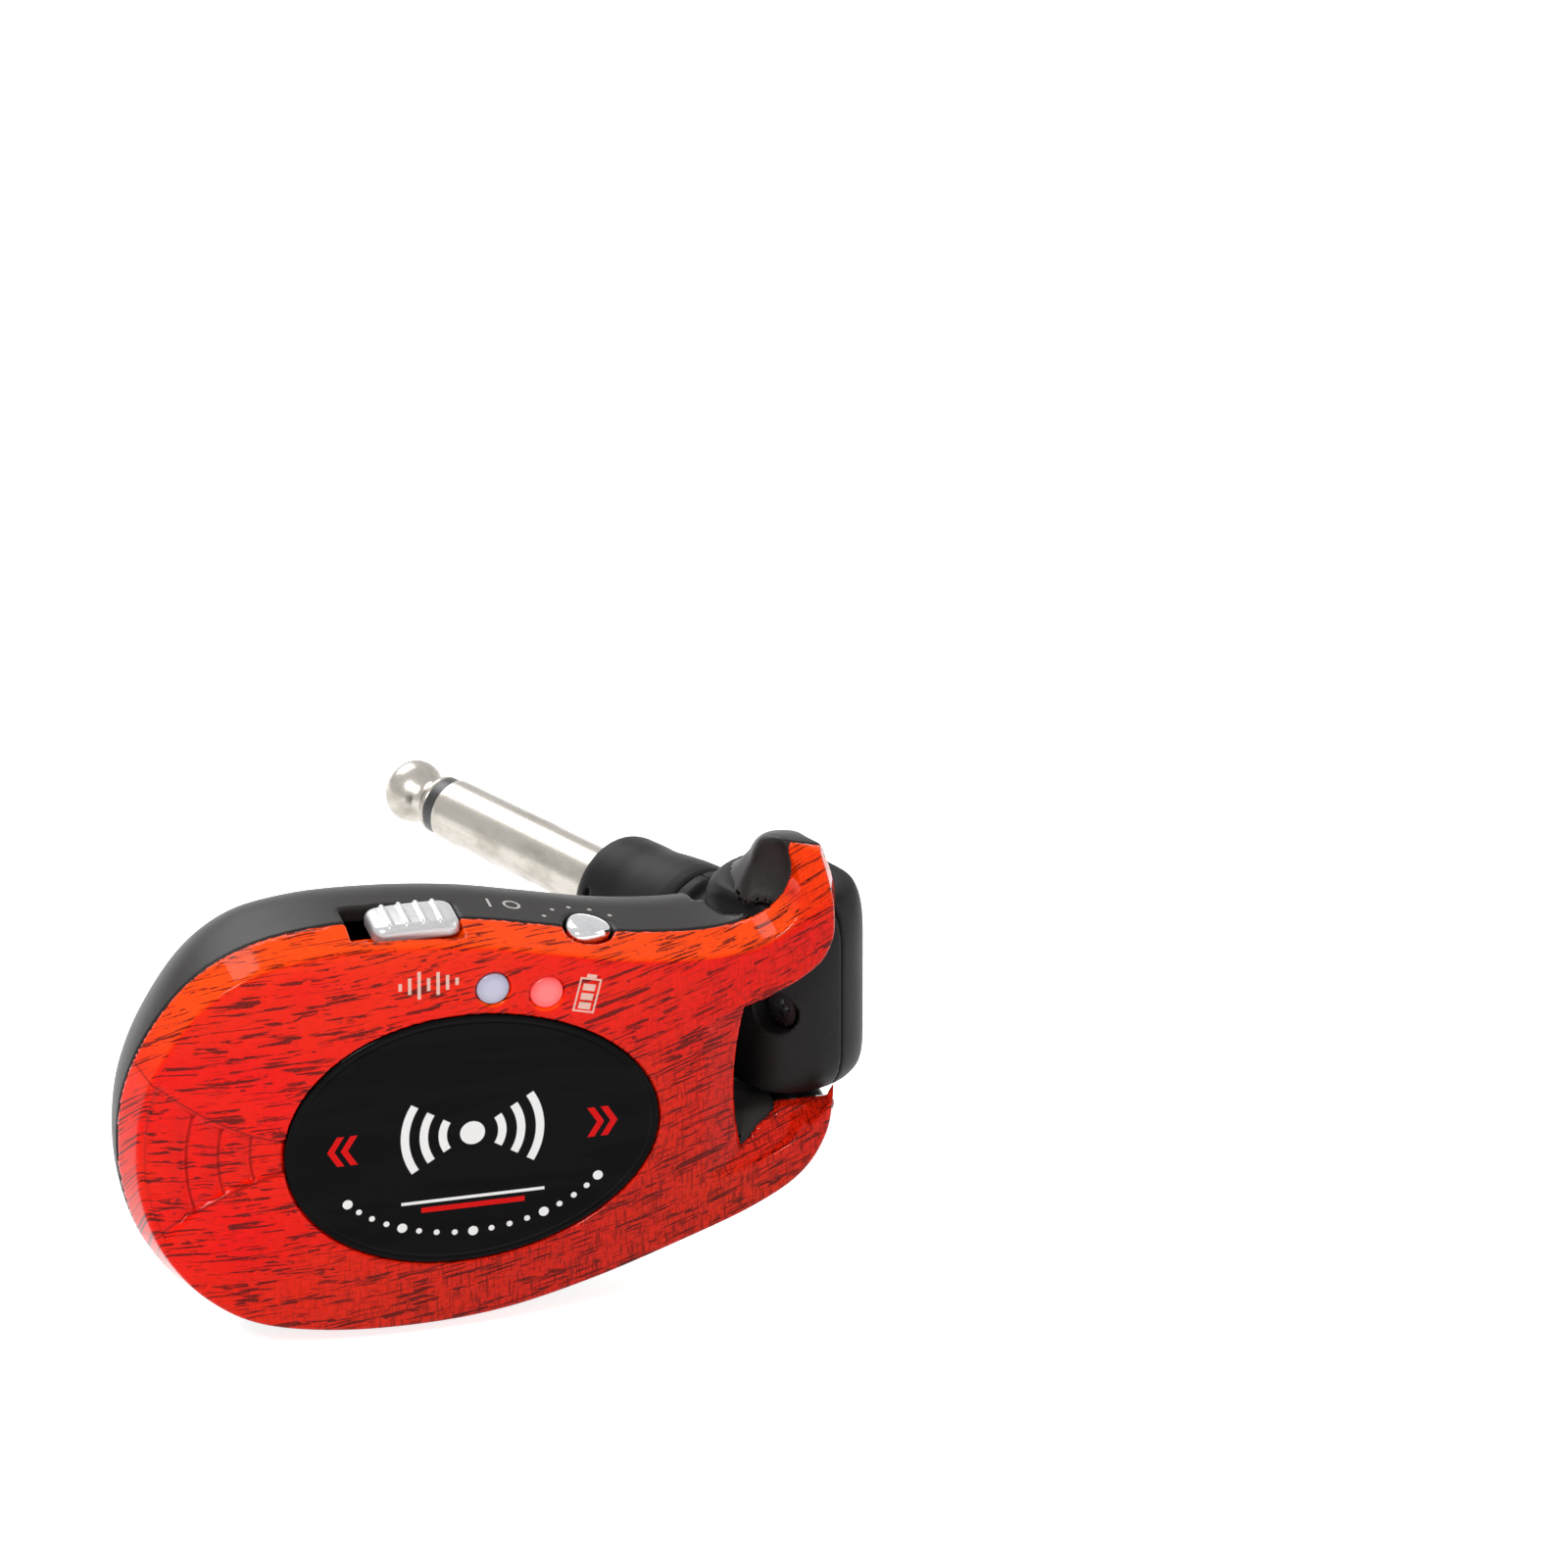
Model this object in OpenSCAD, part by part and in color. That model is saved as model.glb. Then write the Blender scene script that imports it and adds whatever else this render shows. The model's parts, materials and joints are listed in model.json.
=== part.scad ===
// Wireless guitar transmitter: a flat two-shell housing whose forked end carries a folding
// quarter-inch plug. The outline lies in the XZ plane, the front face looks along -Y, and the
// model's origin is the point where the plug leaves its collar.

/* [Housing] */
// Length of the housing, from the round end to the fork tips
body_l = 72.4; // [62:0.1:88]
// Width of the housing, from the lower edge to the top edge beside the switch
body_w = 44; // [37:0.1:54]
// Thickness of the housing, front to back
body_t = 19; // [17:0.1:24]
// Depth of the front shell at the parting line
front_d = 4.2; // [3.6:0.1:5]
// Width of the bevel round the front face
bevel_w = 1.15; // [0.6:0.05:1.8]
// Wall of both shells
wall = 1.6; // [1.2:0.1:2]
// Depth from the parting line at which the back starts to round
shoulder_d = 3.3; // [1:0.1:5]
// Widest inset of the rounded back
round_r = 11; // [6:0.5:12]

/* [Fork and hinge] */
// Distance from the fork tips back to the hinge axis
hinge_in = 3.6; // [3.4:0.1:5]
// Depth of the hinge axis behind the front face
hinge_y = 10.5; // [10:0.1:12]
// Height of the plug axis above the centre of the badge
plug_z = 8.8; // [8:0.1:10]
// Gap between the two fork prongs
gap_h = 22; // [20:0.1:24]
// Radius of the hinge pins
pin_r = 1.25; // [1:0.05:1.5]
// Length of each hinge pin
pin_l = 6; // [5:0.1:7]
// Radius of the round boss that holds each pin
boss_r = 3.7; // [3.2:0.1:4]
// Angle of the plug from square to the back, in the rest pose
rest_angle = 28.5; // [0:0.5:60]
// Angle left between the folded plug and the housing's length
fold_angle = 7; // [5:0.5:12]

/* [Plug arm] */
// Length of the swivel block across the hinge
block_l = 17.3; // [15:0.1:18]
// Width of the swivel block
block_w = 12; // [11:0.1:13]
// Distance from the hinge axis to the seam between neck and collar
neck_r = 12; // [10:0.1:14]
// Radius of the neck at that seam
seam_r = 6.25; // [5.5:0.05:6.5]
// Distance from the hinge axis to the face where the plug starts
plug_start = 24.8; // [22:0.1:28]
// Widest radius of the collar
collar_r = 6.5; // [6:0.05:7]
// Radius of the collar's front rim
rim_r = 5.25; // [4.8:0.05:5.6]
// Radius of the plug, a quarter-inch type
plug_r = 3.175; // [3:0.005:3.4]
// Length of the plug from its shoulder to its tip
plug_l = 33.2; // [30:0.1:36]
// Length of the tip, its insulating ring included
tip_l = 9.8; // [9:0.1:11]
// Width of the insulating ring
ring_w = 1.3; // [1:0.1:1.8]
// Wall of the plug's sleeve
sleeve_wall = 0.75; // [0.6:0.05:1]
// Radius of the tip's centre rod
rod_r = 1.2; // [1:0.05:1.4]
// Head radius of the block's screw
block_screw_r = 1.9; // [1.5:0.1:2.2]

/* [Badge and lights] */
// Length of the badge
badge_l = 37.7; // [32:0.1:40]
// Width of the badge
badge_w = 26.8; // [22:0.1:30]
// Thickness of the badge
badge_t = 0.7; // [0.5:0.05:0.9]
// Radius of the two light lenses
lens_r = 1.65; // [1.2:0.05:2]

/* [Controls] */
// Length of the power slider
slider_l = 8.8; // [7:0.1:10]
// Width of the power slider across the top edge
slider_w = 5.4; // [4.5:0.1:6]
// Travel of the power slider
slider_travel = 2; // [1.5:0.1:2.5]
// How far the slider stands above the top edge
slider_up = 0.8; // [0.4:0.1:1.2]
// Long radius of the channel button
button_r = 2.2; // [1.8:0.1:2.5]
// Travel of the channel button
button_travel = 0.4; // [0.3:0.05:0.5]

/* [Inside] */
// Length of the battery cell
cell_l = 34; // [28:0.5:36]
// Width of the battery cell
cell_w = 13; // [11:0.1:13.2]
// Thickness of the battery cell
cell_t = 4.8; // [4:0.1:5.5]
// Thickness of the circuit board
board_t = 1; // [0.8:0.1:1.2]
// Depth of the circuit board's front face
board_y = 3.3; // [3:0.1:3.6]
// Core radius of the case screws
screw_r = 0.9; // [0.7:0.05:1]
// Width of the charging socket
socket_w = 8; // [7.5:0.1:9]
// Height of the charging socket
socket_h = 3; // [2.6:0.1:3.4]

/* [Clearances] */
// Gap between the block and the fork's inner faces
end_gap = 0.35; // [0.3:0.05:0.5]
// Gap round what swings in the fork
swing_gap = 0.5; // [0.4:0.05:0.8]
// Gap round the controls in their openings
control_gap = 0.3; // [0.2:0.05:0.4]
// Radial gap between a hinge pin and its bore in the block
pin_gap = 0.05; // [0.02:0.01:0.1]
// Gap round parts that only drop into place
drop_gap = 0.15; // [0.1:0.05:0.25]
// Gap round each light lens
lens_gap = 0.05; // [0.03:0.01:0.1]

/* [Hidden] */
$fn = 48;
tiny = 0.01;
big = 100;

// The parting outline's knots for the size below, in X and Z from the badge's centre,
// anticlockwise from the round end: lower edge, fork tips, hook, waist, top edge.
ref_l = 72.4;
ref_w = 44;
knots = [[-33.8, 1.5], [-33.1, -4], [-31, -9.5], [-27, -14.8], [-21.5, -18.6], [-14, -20.5],
    [-5, -21.05], [4, -20.4], [13, -18.3], [22, -15.3], [29.5, -12.4], [34.5, -9.4],
    [37.3, -5.6], [38.4, -1], [38.6, 8], [38.5, 17], [38.25, 23.6], [37.4, 25.5], [35.5, 26.3],
    [33.6, 25.5], [32.8, 23.6], [31.9, 20.8], [30, 18.7], [27, 17.9], [22, 18], [16, 18.8],
    [9, 20.4], [2, 21.9], [-6, 22.8], [-14, 22.9], [-21, 21.6], [-26.5, 18.5], [-30.8, 13.2],
    [-33.2, 7.5]];
scale_x = body_l / ref_l;
scale_z = body_w / ref_w;
steps = 4;

// A point on the smooth closed curve through the knots (Catmull-Rom)
function knot(i) = let (k = knots[(i + len(knots)) % len(knots)]) [k.x * scale_x, k.y * scale_z];
function curve(i, t) = let (a = knot(i - 1), b = knot(i), c = knot(i + 1), d = knot(i + 2))
    0.5 * (2 * b + (c - a) * t + (2 * a - 5 * b + 4 * c - d) * t * t
        + (3 * b - a - 3 * c + d) * t * t * t);
outline = [for (i = [0:len(knots) - 1], s = [0:steps - 1]) curve(i, s / steps)];
n_out = len(outline);
function unit(v) = v / norm(v);
function inward(i) = let (d = unit(outline[(i + 1) % n_out] - outline[(i + n_out - 1) % n_out]))
    [-d.y, d.x];

// Height of the top edge at a given x, and its slope
top_edge = [for (i = [n_out - 1:-1:23 * steps]) outline[i]];
function top_z(x) = lookup(x, top_edge);
function top_slope(x) = atan2(top_z(x + 1) - top_z(x - 1), 2);
bottom_edge = [for (i = [2 * steps:12 * steps]) outline[i]];
function bottom_z(x) = lookup(x, bottom_edge);

// Places worked out from the sizes above
tip_x = 38.6 * scale_x;
hinge_x = tip_x - hinge_in;
left_x = -33.8 * scale_x;
block_h = gap_h - 2 * end_gap;
swing_r = block_l / 2;
pocket_r = swing_r + swing_gap;
gap_lo = plug_z - gap_h / 2;
gap_hi = plug_z + gap_h / 2;
pocket_x = hinge_x - pocket_r;
seat = [hinge_x - plug_start * sin(rest_angle), hinge_y + plug_start * cos(rest_angle), plug_z];
tip_r = plug_start + plug_l;
back_cavity_x = pocket_x - wall;
front_cavity_x = pocket_x - 2 * wall;
board_back = board_y + board_t;
cell_y = board_back + 2;
cell_x = -20 * scale_x;
cell_z = bottom_z(0) + 7.8;
slider_x = -4 * scale_x;
slider_z = top_z(slider_x);
slider_y = front_d + 0.2;
button_x = 13.7 * scale_x;
button_tilt = -top_slope(button_x);
button_y = front_d + 0.4;
audio_light = [3.1 * scale_x, 16 * scale_z];
battery_light = [8.5 * scale_x, 14.9 * scale_z];
socket_x = -4 * scale_x;
socket_z = bottom_z(socket_x);
socket_y = front_d + 3.4;
socket_l = 5;
post_r = 2.1;
screws = [[-15.5 * scale_x, top_z(-15.5 * scale_x) - 5.8], [left_x + 6, -3],
    [19 * scale_x, bottom_z(19 * scale_x) + 5.2], [6 * scale_x, bottom_z(6 * scale_x) + 3.9]];
screw_head_r = 1.7;
screw_end = 2.2;
lens_depth = board_y - 0.9;

// ---- frames -------------------------------------------------------------------------------

// Housing frame: badge centre at the origin, +Y into the housing
module housing() translate(-seat) children();
// Arm frame: hinge axis at the origin, the plug along +Y
module arm() translate([hinge_x, hinge_y, plug_z] - seat) rotate(rest_angle) children();
// The same arm when it is folded along the back, seen in the housing frame
module folded() translate([hinge_x, hinge_y, plug_z]) rotate(90 - fold_angle) children();
// Turns a flat XZ shape into a slab from depth y0 to y1
module slab(y0, y1) translate([0, y1, 0]) rotate([90, 0, 0]) linear_extrude(y1 - y0) children();
// A rod along +Y from depth y0 to y1 at a point in XZ
module rod(r, y0, y1, at = [0, 0]) slab(y0, y1) translate(at) circle(r);

// A closed skin through rings of equal length
module skin(rings) {
    n = len(rings[0]);
    last = len(rings) - 1;
    polyhedron([for (r = rings) each r], concat([[for (i = [0:n - 1]) n - 1 - i]],
        [for (k = [0:last - 1], i = [0:n - 1]) let (a = k * n + i, b = k * n + (i + 1) % n)
            each [[a, b, b + n], [a, b + n, a + n]]],
        [[for (i = [0:n - 1]) last * n + i]]), convexity = 8);
}

// ---- outer form ---------------------------------------------------------------------------

spine_a = [-12 * scale_x, 1];
spine_b = [27 * scale_x, 5];
function on_spine(p) = let (d = spine_b - spine_a,
    t = max(0, min(1, ((p - spine_a) * d) / (d * d)))) spine_a + t * d;
function back_ring(a) = [for (p = outline) let (c = on_spine(p) - p,
    q = p + unit(c) * min(round_r, 0.75 * norm(c)) * (1 - cos(a)))
    [q.x, front_d + shoulder_d + (body_t - front_d - shoulder_d) * sin(a), q.y]];

// The flat front face: inset by the bevel, and cut short on the hook, where the bevel is wide
hook_low = [29 * scale_x, 18.7 * scale_z];
front_edge = [for (i = [0:n_out - 1]) let (p = outline[i] + inward(i) * bevel_w)
    p.x > hook_low.x && p.y > hook_low.y ? [p.x, hook_low.y + 0.3 * (p.y - hook_low.y)] : p];
// The bevel's straight lines, carried on to depth y
function bevel_ring(y) = [for (i = [0:n_out - 1])
    let (p = front_edge[i] + (outline[i] - front_edge[i]) * y / front_d) [p.x, y, p.y]];
// Both forms stand a little past their flat faces, and are cut back to them
proud = 0.2;
module front_form() skin([bevel_ring(-proud), bevel_ring(front_d + 1)]);
module back_form() skin([[for (p = outline) [p.x, front_d - 1, p.y]],
    for (a = [0:15:90]) back_ring(a), [for (p = back_ring(90)) p + [0, 1, 0]]]);
// Keeps what lies between two depths
module between(y0, y1) intersection() {
    children();
    translate([-big, y0, -big]) cube([2 * big, y1 - y0, 2 * big]);
}
module inner_flat(inset) offset(delta = -inset) polygon(outline);

// The window between the prongs, seen from the front, with its flared lower side
lip_x = pocket_x + 2.4;
// How the lower prong's inner face flares: depth, start from the lip, three drops along it
// and the rise at the prong's end
flare = [[-0.6, -1.7, 5.9, 4.3, 0.4, 3.4], [7, -0.1, 0.1, 0.15, 0.1, 0.1]];
module fork_window() {
    slab(-1, hinge_y) polygon([[lip_x, gap_lo], [lip_x, plug_z + 1], [lip_x + 0.5, plug_z + 2.2],
        [lip_x + 4.2, plug_z + 3.4], [lip_x + 7.1, plug_z + 5.8], [lip_x + 8.6, plug_z + 8.6],
        [tip_x + 0.6, gap_hi], [big, gap_hi], [big, gap_lo]]);
    skin([for (f = flare) [[lip_x + f[1], f[0], gap_lo - f[2]], [lip_x + 4, f[0], gap_lo - f[3]],
        [lip_x + 7.9, f[0], gap_lo - f[4]], [tip_x + 1, f[0], gap_lo + f[5]],
        [tip_x + 9, f[0], plug_z], [lip_x + f[1], f[0], plug_z]]]);
    translate([lip_x - 4, 0, gap_lo - 5.9]) rotate([0, 0, 19])
        translate([0, -5, 0]) cube([6, 5, plug_z + 1 - gap_lo + 5.9]);
}
// The room that the block and the arm need while they swing
module swing_room() {
    translate([hinge_x, hinge_y, gap_lo]) cylinder(r = pocket_r, h = gap_h, $fn = 96);
    translate([pocket_x, hinge_y, gap_lo]) cube([big, big, gap_h]);
    translate([hinge_x + pocket_r * cos(60), hinge_y - pocket_r * sin(60), gap_lo])
        cube([big, pocket_r, gap_h]);
}
// The trough in the back that takes the folded arm, grown by g for its wall
module trough(g = 0) folded() {
    for (part = [[collar_r + swing_gap, 0, plug_start + swing_gap],
            [plug_r + swing_gap, 0, tip_r + 1]])
        translate([0, part[1], 0]) {
            rotate([-90, 0, 0]) cylinder(r = part[0] + g, h = part[2] + g, $fn = 64);
            translate([0, 0, -part[0] - g]) cube([big, part[2] + g, 2 * (part[0] + g)]);
        }
}

// ---- controls' openings -------------------------------------------------------------------

module at_slider() translate([slider_x, slider_y, slider_z]) children();
module at_button() translate([button_x, button_y, top_z(button_x)])
    rotate([0, button_tilt, 0]) children();
module drop_shape(r) hull() {
    translate([0.2, 0.2]) circle(r, $fn = 32);
    translate([-0.9, -0.9]) circle(r * 0.55, $fn = 32);
}
module control_openings() {
    at_slider() translate([-slider_l / 2 - slider_travel - control_gap,
        -slider_w / 2 - control_gap, -1.6])
        cube([slider_l + slider_travel + 2 * control_gap, slider_w + 2 * control_gap, 9]);
    at_slider() translate([-3.2, -1.1, -6]) cube([5, 2.2, 9]);
    at_button() translate([0, 0, -8]) linear_extrude(20) drop_shape(button_r + control_gap);
}

// ---- shells -------------------------------------------------------------------------------

module front_shell() housing() color("orangered") between(0, front_d) difference() {
    front_form();
    difference() {
        slab(wall, front_d + 2) intersection() {
            inner_flat(wall + bevel_w);
            translate([-big, -big]) square([big + front_cavity_x, 2 * big]);
        }
        for (s = screws) rod(post_r, 0, front_d + 2, s);
    }
    slab(-1, badge_t) badge_flat(badge_l / 2 + drop_gap, badge_w / 2 + drop_gap);
    for (l = [audio_light, battery_light]) rod(lens_r + lens_gap, -1, wall + 1, l);
    for (s = screws) rod(screw_r, screw_end, front_d + 3, s);
    fork_window();
    swing_room();
    trough();
    control_openings();
}

// The upper prong's back half stands apart from the rest: the block swings between them
module hook_room() translate([29 * scale_x, 0, gap_hi - tiny]) cube(big);
module back_shell() housing() color("dimgray") difference() {
    back_body();
    hook_room();
}
module hook_cover() housing() color("dimgray") intersection() {
    back_body();
    hook_room();
}
module back_body() between(front_d, body_t) difference() {
    union() {
        difference() {
            back_form();
            for (room = [[front_d - 2, neck_y, wall], [neck_y - tiny, body_t - 2 * wall, wall + 4.2]])
                difference() {
                    slab(room[0], room[1]) back_room(room[2]);
                    trough(wall);
                    for (s = screws) {
                        rod(post_r, 0, body_t, s);
                        rod(post_r + 0.7, board_back + 0.3, body_t, s);
                    }
                }
        }
        for (z = [gap_hi, gap_lo - 4]) translate([hinge_x, hinge_y, z])
            cylinder(r = boss_r, h = 4);
    }
    trough();
    swing_room();
    for (s = screws) {
        rod(screw_r + drop_gap, front_d - 1, body_t, s);
        rod(screw_head_r + drop_gap, body_t - 6, body_t + 1, s);
    }
    translate([hinge_x, hinge_y, gap_lo - pin_l / 2]) cylinder(r = pin_r, h = gap_h + pin_l);
    control_openings();
    translate([socket_x - socket_w / 2 - drop_gap, socket_y - socket_h / 2 - drop_gap,
        socket_z - 3]) cube([socket_w + 2 * drop_gap, socket_h + 2 * drop_gap, 3 + socket_l]);
    intersection() {
        fork_window();
        translate([-big, 0, -big]) cube([2 * big, hinge_y, 2 * big]);
    }
}
// Depth at which the room inside the back shell narrows to follow its rounding
neck_y = front_d + shoulder_d + 4;
module back_room(inset) intersection() {
    inner_flat(inset);
    translate([-big, -big]) square([big + back_cavity_x, 2 * big]);
}

// ---- badge and lights ---------------------------------------------------------------------

// An egg: the widest place lies a little left of the middle
module badge_flat(a, b) polygon([for (t = [0:6:354])
    [a * cos(t) + 0.9, b * sin(t) * (1 - 0.06 * cos(t))]]);
module badge_plate() housing() color("black") slab(0, badge_t) badge_flat(badge_l / 2, badge_w / 2);

module lens(at) housing() rod(lens_r, 0.02, lens_depth, at);
module audio_light_lens() color("lavender") lens(audio_light);
module battery_light_lens() color("lightcoral") lens(battery_light);
module light_chips() housing() color("white") for (l = [audio_light, battery_light])
    translate([l.x - 0.8, lens_depth + 0.1, l.y - 0.5]) cube([1.6, board_y - lens_depth - 0.1, 1]);

// ---- electronics --------------------------------------------------------------------------

module circuit_board() housing() color("darkgreen") difference() {
    slab(board_y, board_back) intersection() {
        inner_flat(wall + bevel_w + 0.6);
        translate([-big, -big]) square([big + front_cavity_x - 1, 2 * big]);
    }
    for (s = screws) rod(post_r + drop_gap, 0, body_t, s);
    trough(wall + drop_gap);
    at_slider() translate([-big / 2, -big / 2, -6.7]) cube([big, big, 20]);
    at_button() translate([-4, -big / 2, -5.2]) cube([big, big, 20]);
}
module shield_can() housing() color("silver") translate([left_x + 16, board_back, 1.5])
    difference() {
        cube([13, 1.7, 9]);
        translate([0.3, -1, 0.3]) cube([12.4, 2.4, 8.4]);
    }
module antenna() housing() color("ivory") translate([left_x + 7, board_back, 4])
    cube([2, 1.1, 8]);
module audio_chip() housing() color("black") translate([0, board_back, -10]) cube([5, 0.9, 5]);
module battery_cell() housing() color("lightsteelblue")
    translate([cell_x + cell_t / 2, cell_y + cell_t / 2, cell_z]) hull() for (x = [0, cell_l - cell_t])
        translate([x, 0, 0]) cylinder(d = cell_t, h = cell_w, $fn = 24);
module battery_pad() housing() color("gray") translate([cell_x + 6, cell_y + cell_t, cell_z + 2])
    cube([cell_l - 12, 1, cell_w - 4]);
module battery_connector() housing() color("ivory")
    translate([cell_x + cell_l + 0.8, board_back, cell_z + 6.5]) cube([3, 1.8, 5]);
module charging_socket() housing() color("silver")
    translate([socket_x - socket_w / 2, socket_y - socket_h / 2, socket_z + 0.3]) difference() {
        cube([socket_w, socket_h, socket_l]);
        translate([0.35, 0.35, -1]) cube([socket_w - 0.7, socket_h - 0.7, socket_l]);
        translate([socket_w / 2 - 2, socket_h / 2 - 0.35, -2]) cube([4, 0.7, 1]);
    }

// ---- controls -----------------------------------------------------------------------------

module power_switch() housing() color("silver") at_slider() difference() {
    translate([-4.2, -1.5, -6.6]) cube([8.4, 4.2, 3.2]);
    translate([-2.4, -0.85, -5]) cube([4, 1.7, 3]);
}
module power_slider() housing() color("gainsboro") at_slider() {
    difference() {
        translate([-slider_l / 2, -slider_w / 2, -1.2])
            cube([slider_l, slider_w, 1.2 + slider_up]);
        for (i = [-1.5:1:1.5]) translate([i * 1.7 - 0.25, -slider_w, slider_up - 0.3])
            cube([0.5, 2 * slider_w, 1]);
    }
    translate([0.3, -0.5, -4.5]) cube([1, 1, 3.5]);
}
module channel_switch() housing() color("silver") at_button()
    translate([-1.7, -1.7, -5]) cube([3.4, 3.4, 1.6]);
module channel_button() housing() color("lightgray") at_button() {
    translate([0, 0, -1.8]) linear_extrude(1.8) drop_shape(button_r);
    intersection() {
        linear_extrude(2) drop_shape(button_r);
        translate([0, 0, -5.1]) sphere(5.9, $fn = 64);
    }
    translate([0, 0, -3.3 + button_travel]) cylinder(r = 0.8, h = 2);
}

// ---- fasteners ----------------------------------------------------------------------------

module case_screws() housing() color("silver") for (s = screws) {
    rod(screw_r, screw_end + 0.4, body_t - 6, s);
    difference() {
        rod(screw_head_r, body_t - 6, body_t - 4.8, s);
        slab(body_t - 5.4, body_t) translate(s) for (a = [0, 90]) rotate(a)
            square([2, 0.5], center = true);
    }
}
module hinge_pins() housing() color("silver") for (z = [gap_lo, gap_hi])
    translate([hinge_x, hinge_y, z - pin_l / 2]) cylinder(r = pin_r, h = pin_l);
module friction_washers() arm() color("white") for (s = [-1, 1]) difference() {
    translate([0, 0, s * (block_h / 2 + 0.15) - 0.15]) cylinder(r = 3.2, h = 0.3);
    cylinder(r = pin_r + pin_gap, h = big, center = true);
}

// ---- plug arm -----------------------------------------------------------------------------

cable_r = 3.2;
module block_form() {
    end_r = block_w / 2;
    translate([0, 0, -block_h / 2]) {
        for (y = [-1, 1]) translate([0, y * (block_l / 2 - end_r), 0])
            cylinder(r = end_r, h = block_h, $fn = 72);
        translate([-end_r, -(block_l / 2 - end_r), 0]) cube([block_w, block_l - block_w, block_h]);
    }
    rotate([-90, 0, 0]) rotate_extrude($fn = 72) polygon([[0, 0], [5.5, 0],
        [5.5, neck_r - 2], [seam_r, neck_r - 1], [seam_r, neck_r], [0, neck_r]]);
}
screw_at = [0, -(block_l / 2 - 4.35), -1];
// side -1 is the half that looks to the left when the plug points away
module block_half(side) color([0.15, 0.15, 0.16]) difference() {
    block_form();
    translate([side > 0 ? -big : 0, -big, -big]) cube([big, 2 * big, 2 * big]);
    translate([0, 0, -block_h / 2 + 3.6]) cylinder(r = cable_r, h = block_h - 7.2);
    rotate([-90, 0, 0]) cylinder(r = cable_r, h = neck_r + 1);
    for (s = [-1, 1]) translate([0, 0, s * block_h / 2]) cylinder(r = pin_r + pin_gap, h = 8,
        center = true);
    translate(screw_at) rotate([0, 90, 0]) {
        cylinder(r = screw_r + drop_gap, h = big, center = true);
        translate([0, 0, -big - 3]) cylinder(r = block_screw_r + 0.45, h = big);
        translate([0, 0, 3]) cylinder(r = 1.9 / cos(30), h = 1.6, $fn = 6);
    }
}
module block_left() arm() block_half(-1);
module block_right() arm() block_half(1);
module block_screw() arm() color("silver") translate(screw_at) rotate([0, 90, 0]) {
    translate([0, 0, -3]) cylinder(r = screw_r, h = 7.4);
    difference() {
        translate([0, 0, -4.2]) cylinder(r = block_screw_r, h = 1.2);
        for (a = [0, 90]) rotate(a) translate([-1.1, -0.25, -5]) cube([2.2, 0.5, 1.4]);
    }
}
module block_nut() arm() color("goldenrod") translate(screw_at) rotate([0, 90, 0])
    translate([0, 0, 3]) difference() {
        cylinder(r = 1.8 / cos(30), h = 1.5, $fn = 6);
        translate([0, 0, -1]) cylinder(r = screw_r, h = 4);
    }

nut_r = 4.2;
nut_l = 7;
// The plug's seat inside the collar is thinner than the plug itself
seat_r = plug_r - 0.3;
function ease(t) = t * t * (3 - 2 * t);
module plug_collar() arm() color([0.13, 0.13, 0.14]) difference() {
    rotate([-90, 0, 0]) rotate_extrude($fn = 96) polygon([[0, neck_r], [seam_r, neck_r],
        [seam_r + 0.15, neck_r + 0.4], for (t = [0:0.1:1]) [rim_r + (collar_r - rim_r) * ease(1 - t),
            neck_r + 2 + t * (plug_start - neck_r - 2.4)],
        [rim_r - 0.3, plug_start], [0, plug_start]]);
    rotate([-90, 0, 0]) {
        cylinder(r = nut_r, h = plug_start - 2);
        cylinder(r = seat_r, h = plug_start + 1);
    }
    translate([-collar_r, plug_start - 3.6, collar_r * 0.55]) cube([2.6, 2.2, 0.7]);
}
module plug_sleeve() arm() color("silver") rotate([-90, 0, 0]) difference() {
    union() {
        translate([0, 0, plug_start]) cylinder(r = plug_r, h = tip_r - tip_l - plug_start, $fn = 72);
        translate([0, 0, plug_start - nut_l]) cylinder(r = seat_r, h = nut_l + tiny, $fn = 72);
    }
    cylinder(r = plug_r - sleeve_wall, h = big);
}
module plug_insulator() arm() color("black") rotate([-90, 0, 0]) difference() {
    union() {
        translate([0, 0, plug_start - nut_l - 1.2]) cylinder(r = plug_r - sleeve_wall,
            h = tip_r - tip_l - plug_start + nut_l + 1.2);
        translate([0, 0, tip_r - tip_l]) cylinder(r = plug_r - 0.25, h = ring_w, $fn = 72);
    }
    cylinder(r = rod_r, h = big);
}
// Profile of the tip, from its skirt to its point
module plug_tip() arm() color("silver") rotate([-90, 0, 0]) rotate_extrude($fn = 96)
    polygon(concat([[0, plug_start - nut_l - 2.4], [rod_r, plug_start - nut_l - 2.4],
        [rod_r, tip_r - tip_l + ring_w], [2.9, tip_r - tip_l + ring_w],
        [2.9, tip_r - tip_l + ring_w + 0.5], [2.05, tip_r - tip_l + ring_w + 1.6]],
        [for (t = [-50:10:50]) [0.35 + 2.8 * cos(t), tip_r - 4.1 + 2.8 * sin(t)]],
        [[0.9, tip_r - 0.5], [0.35, tip_r]], [[0, tip_r]]));
module sleeve_nut() arm() color("goldenrod") rotate([-90, 0, 0])
    translate([0, 0, plug_start - nut_l]) difference() {
        cylinder(r = nut_r, h = nut_l - 2);
        translate([0, 0, -1]) cylinder(r = seat_r, h = nut_l);
    }
module tip_terminal() arm() color("gold") rotate([-90, 0, 0])
    translate([0, 0, plug_start - nut_l - 2.2]) difference() {
        union() {
            cylinder(r = 2, h = 0.5);
            translate([-0.7, -2, -4.4]) cube([1.4, 0.4, 4.9]);
        }
        translate([0, 0, -1]) cylinder(r = rod_r, h = 3);
    }
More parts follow.
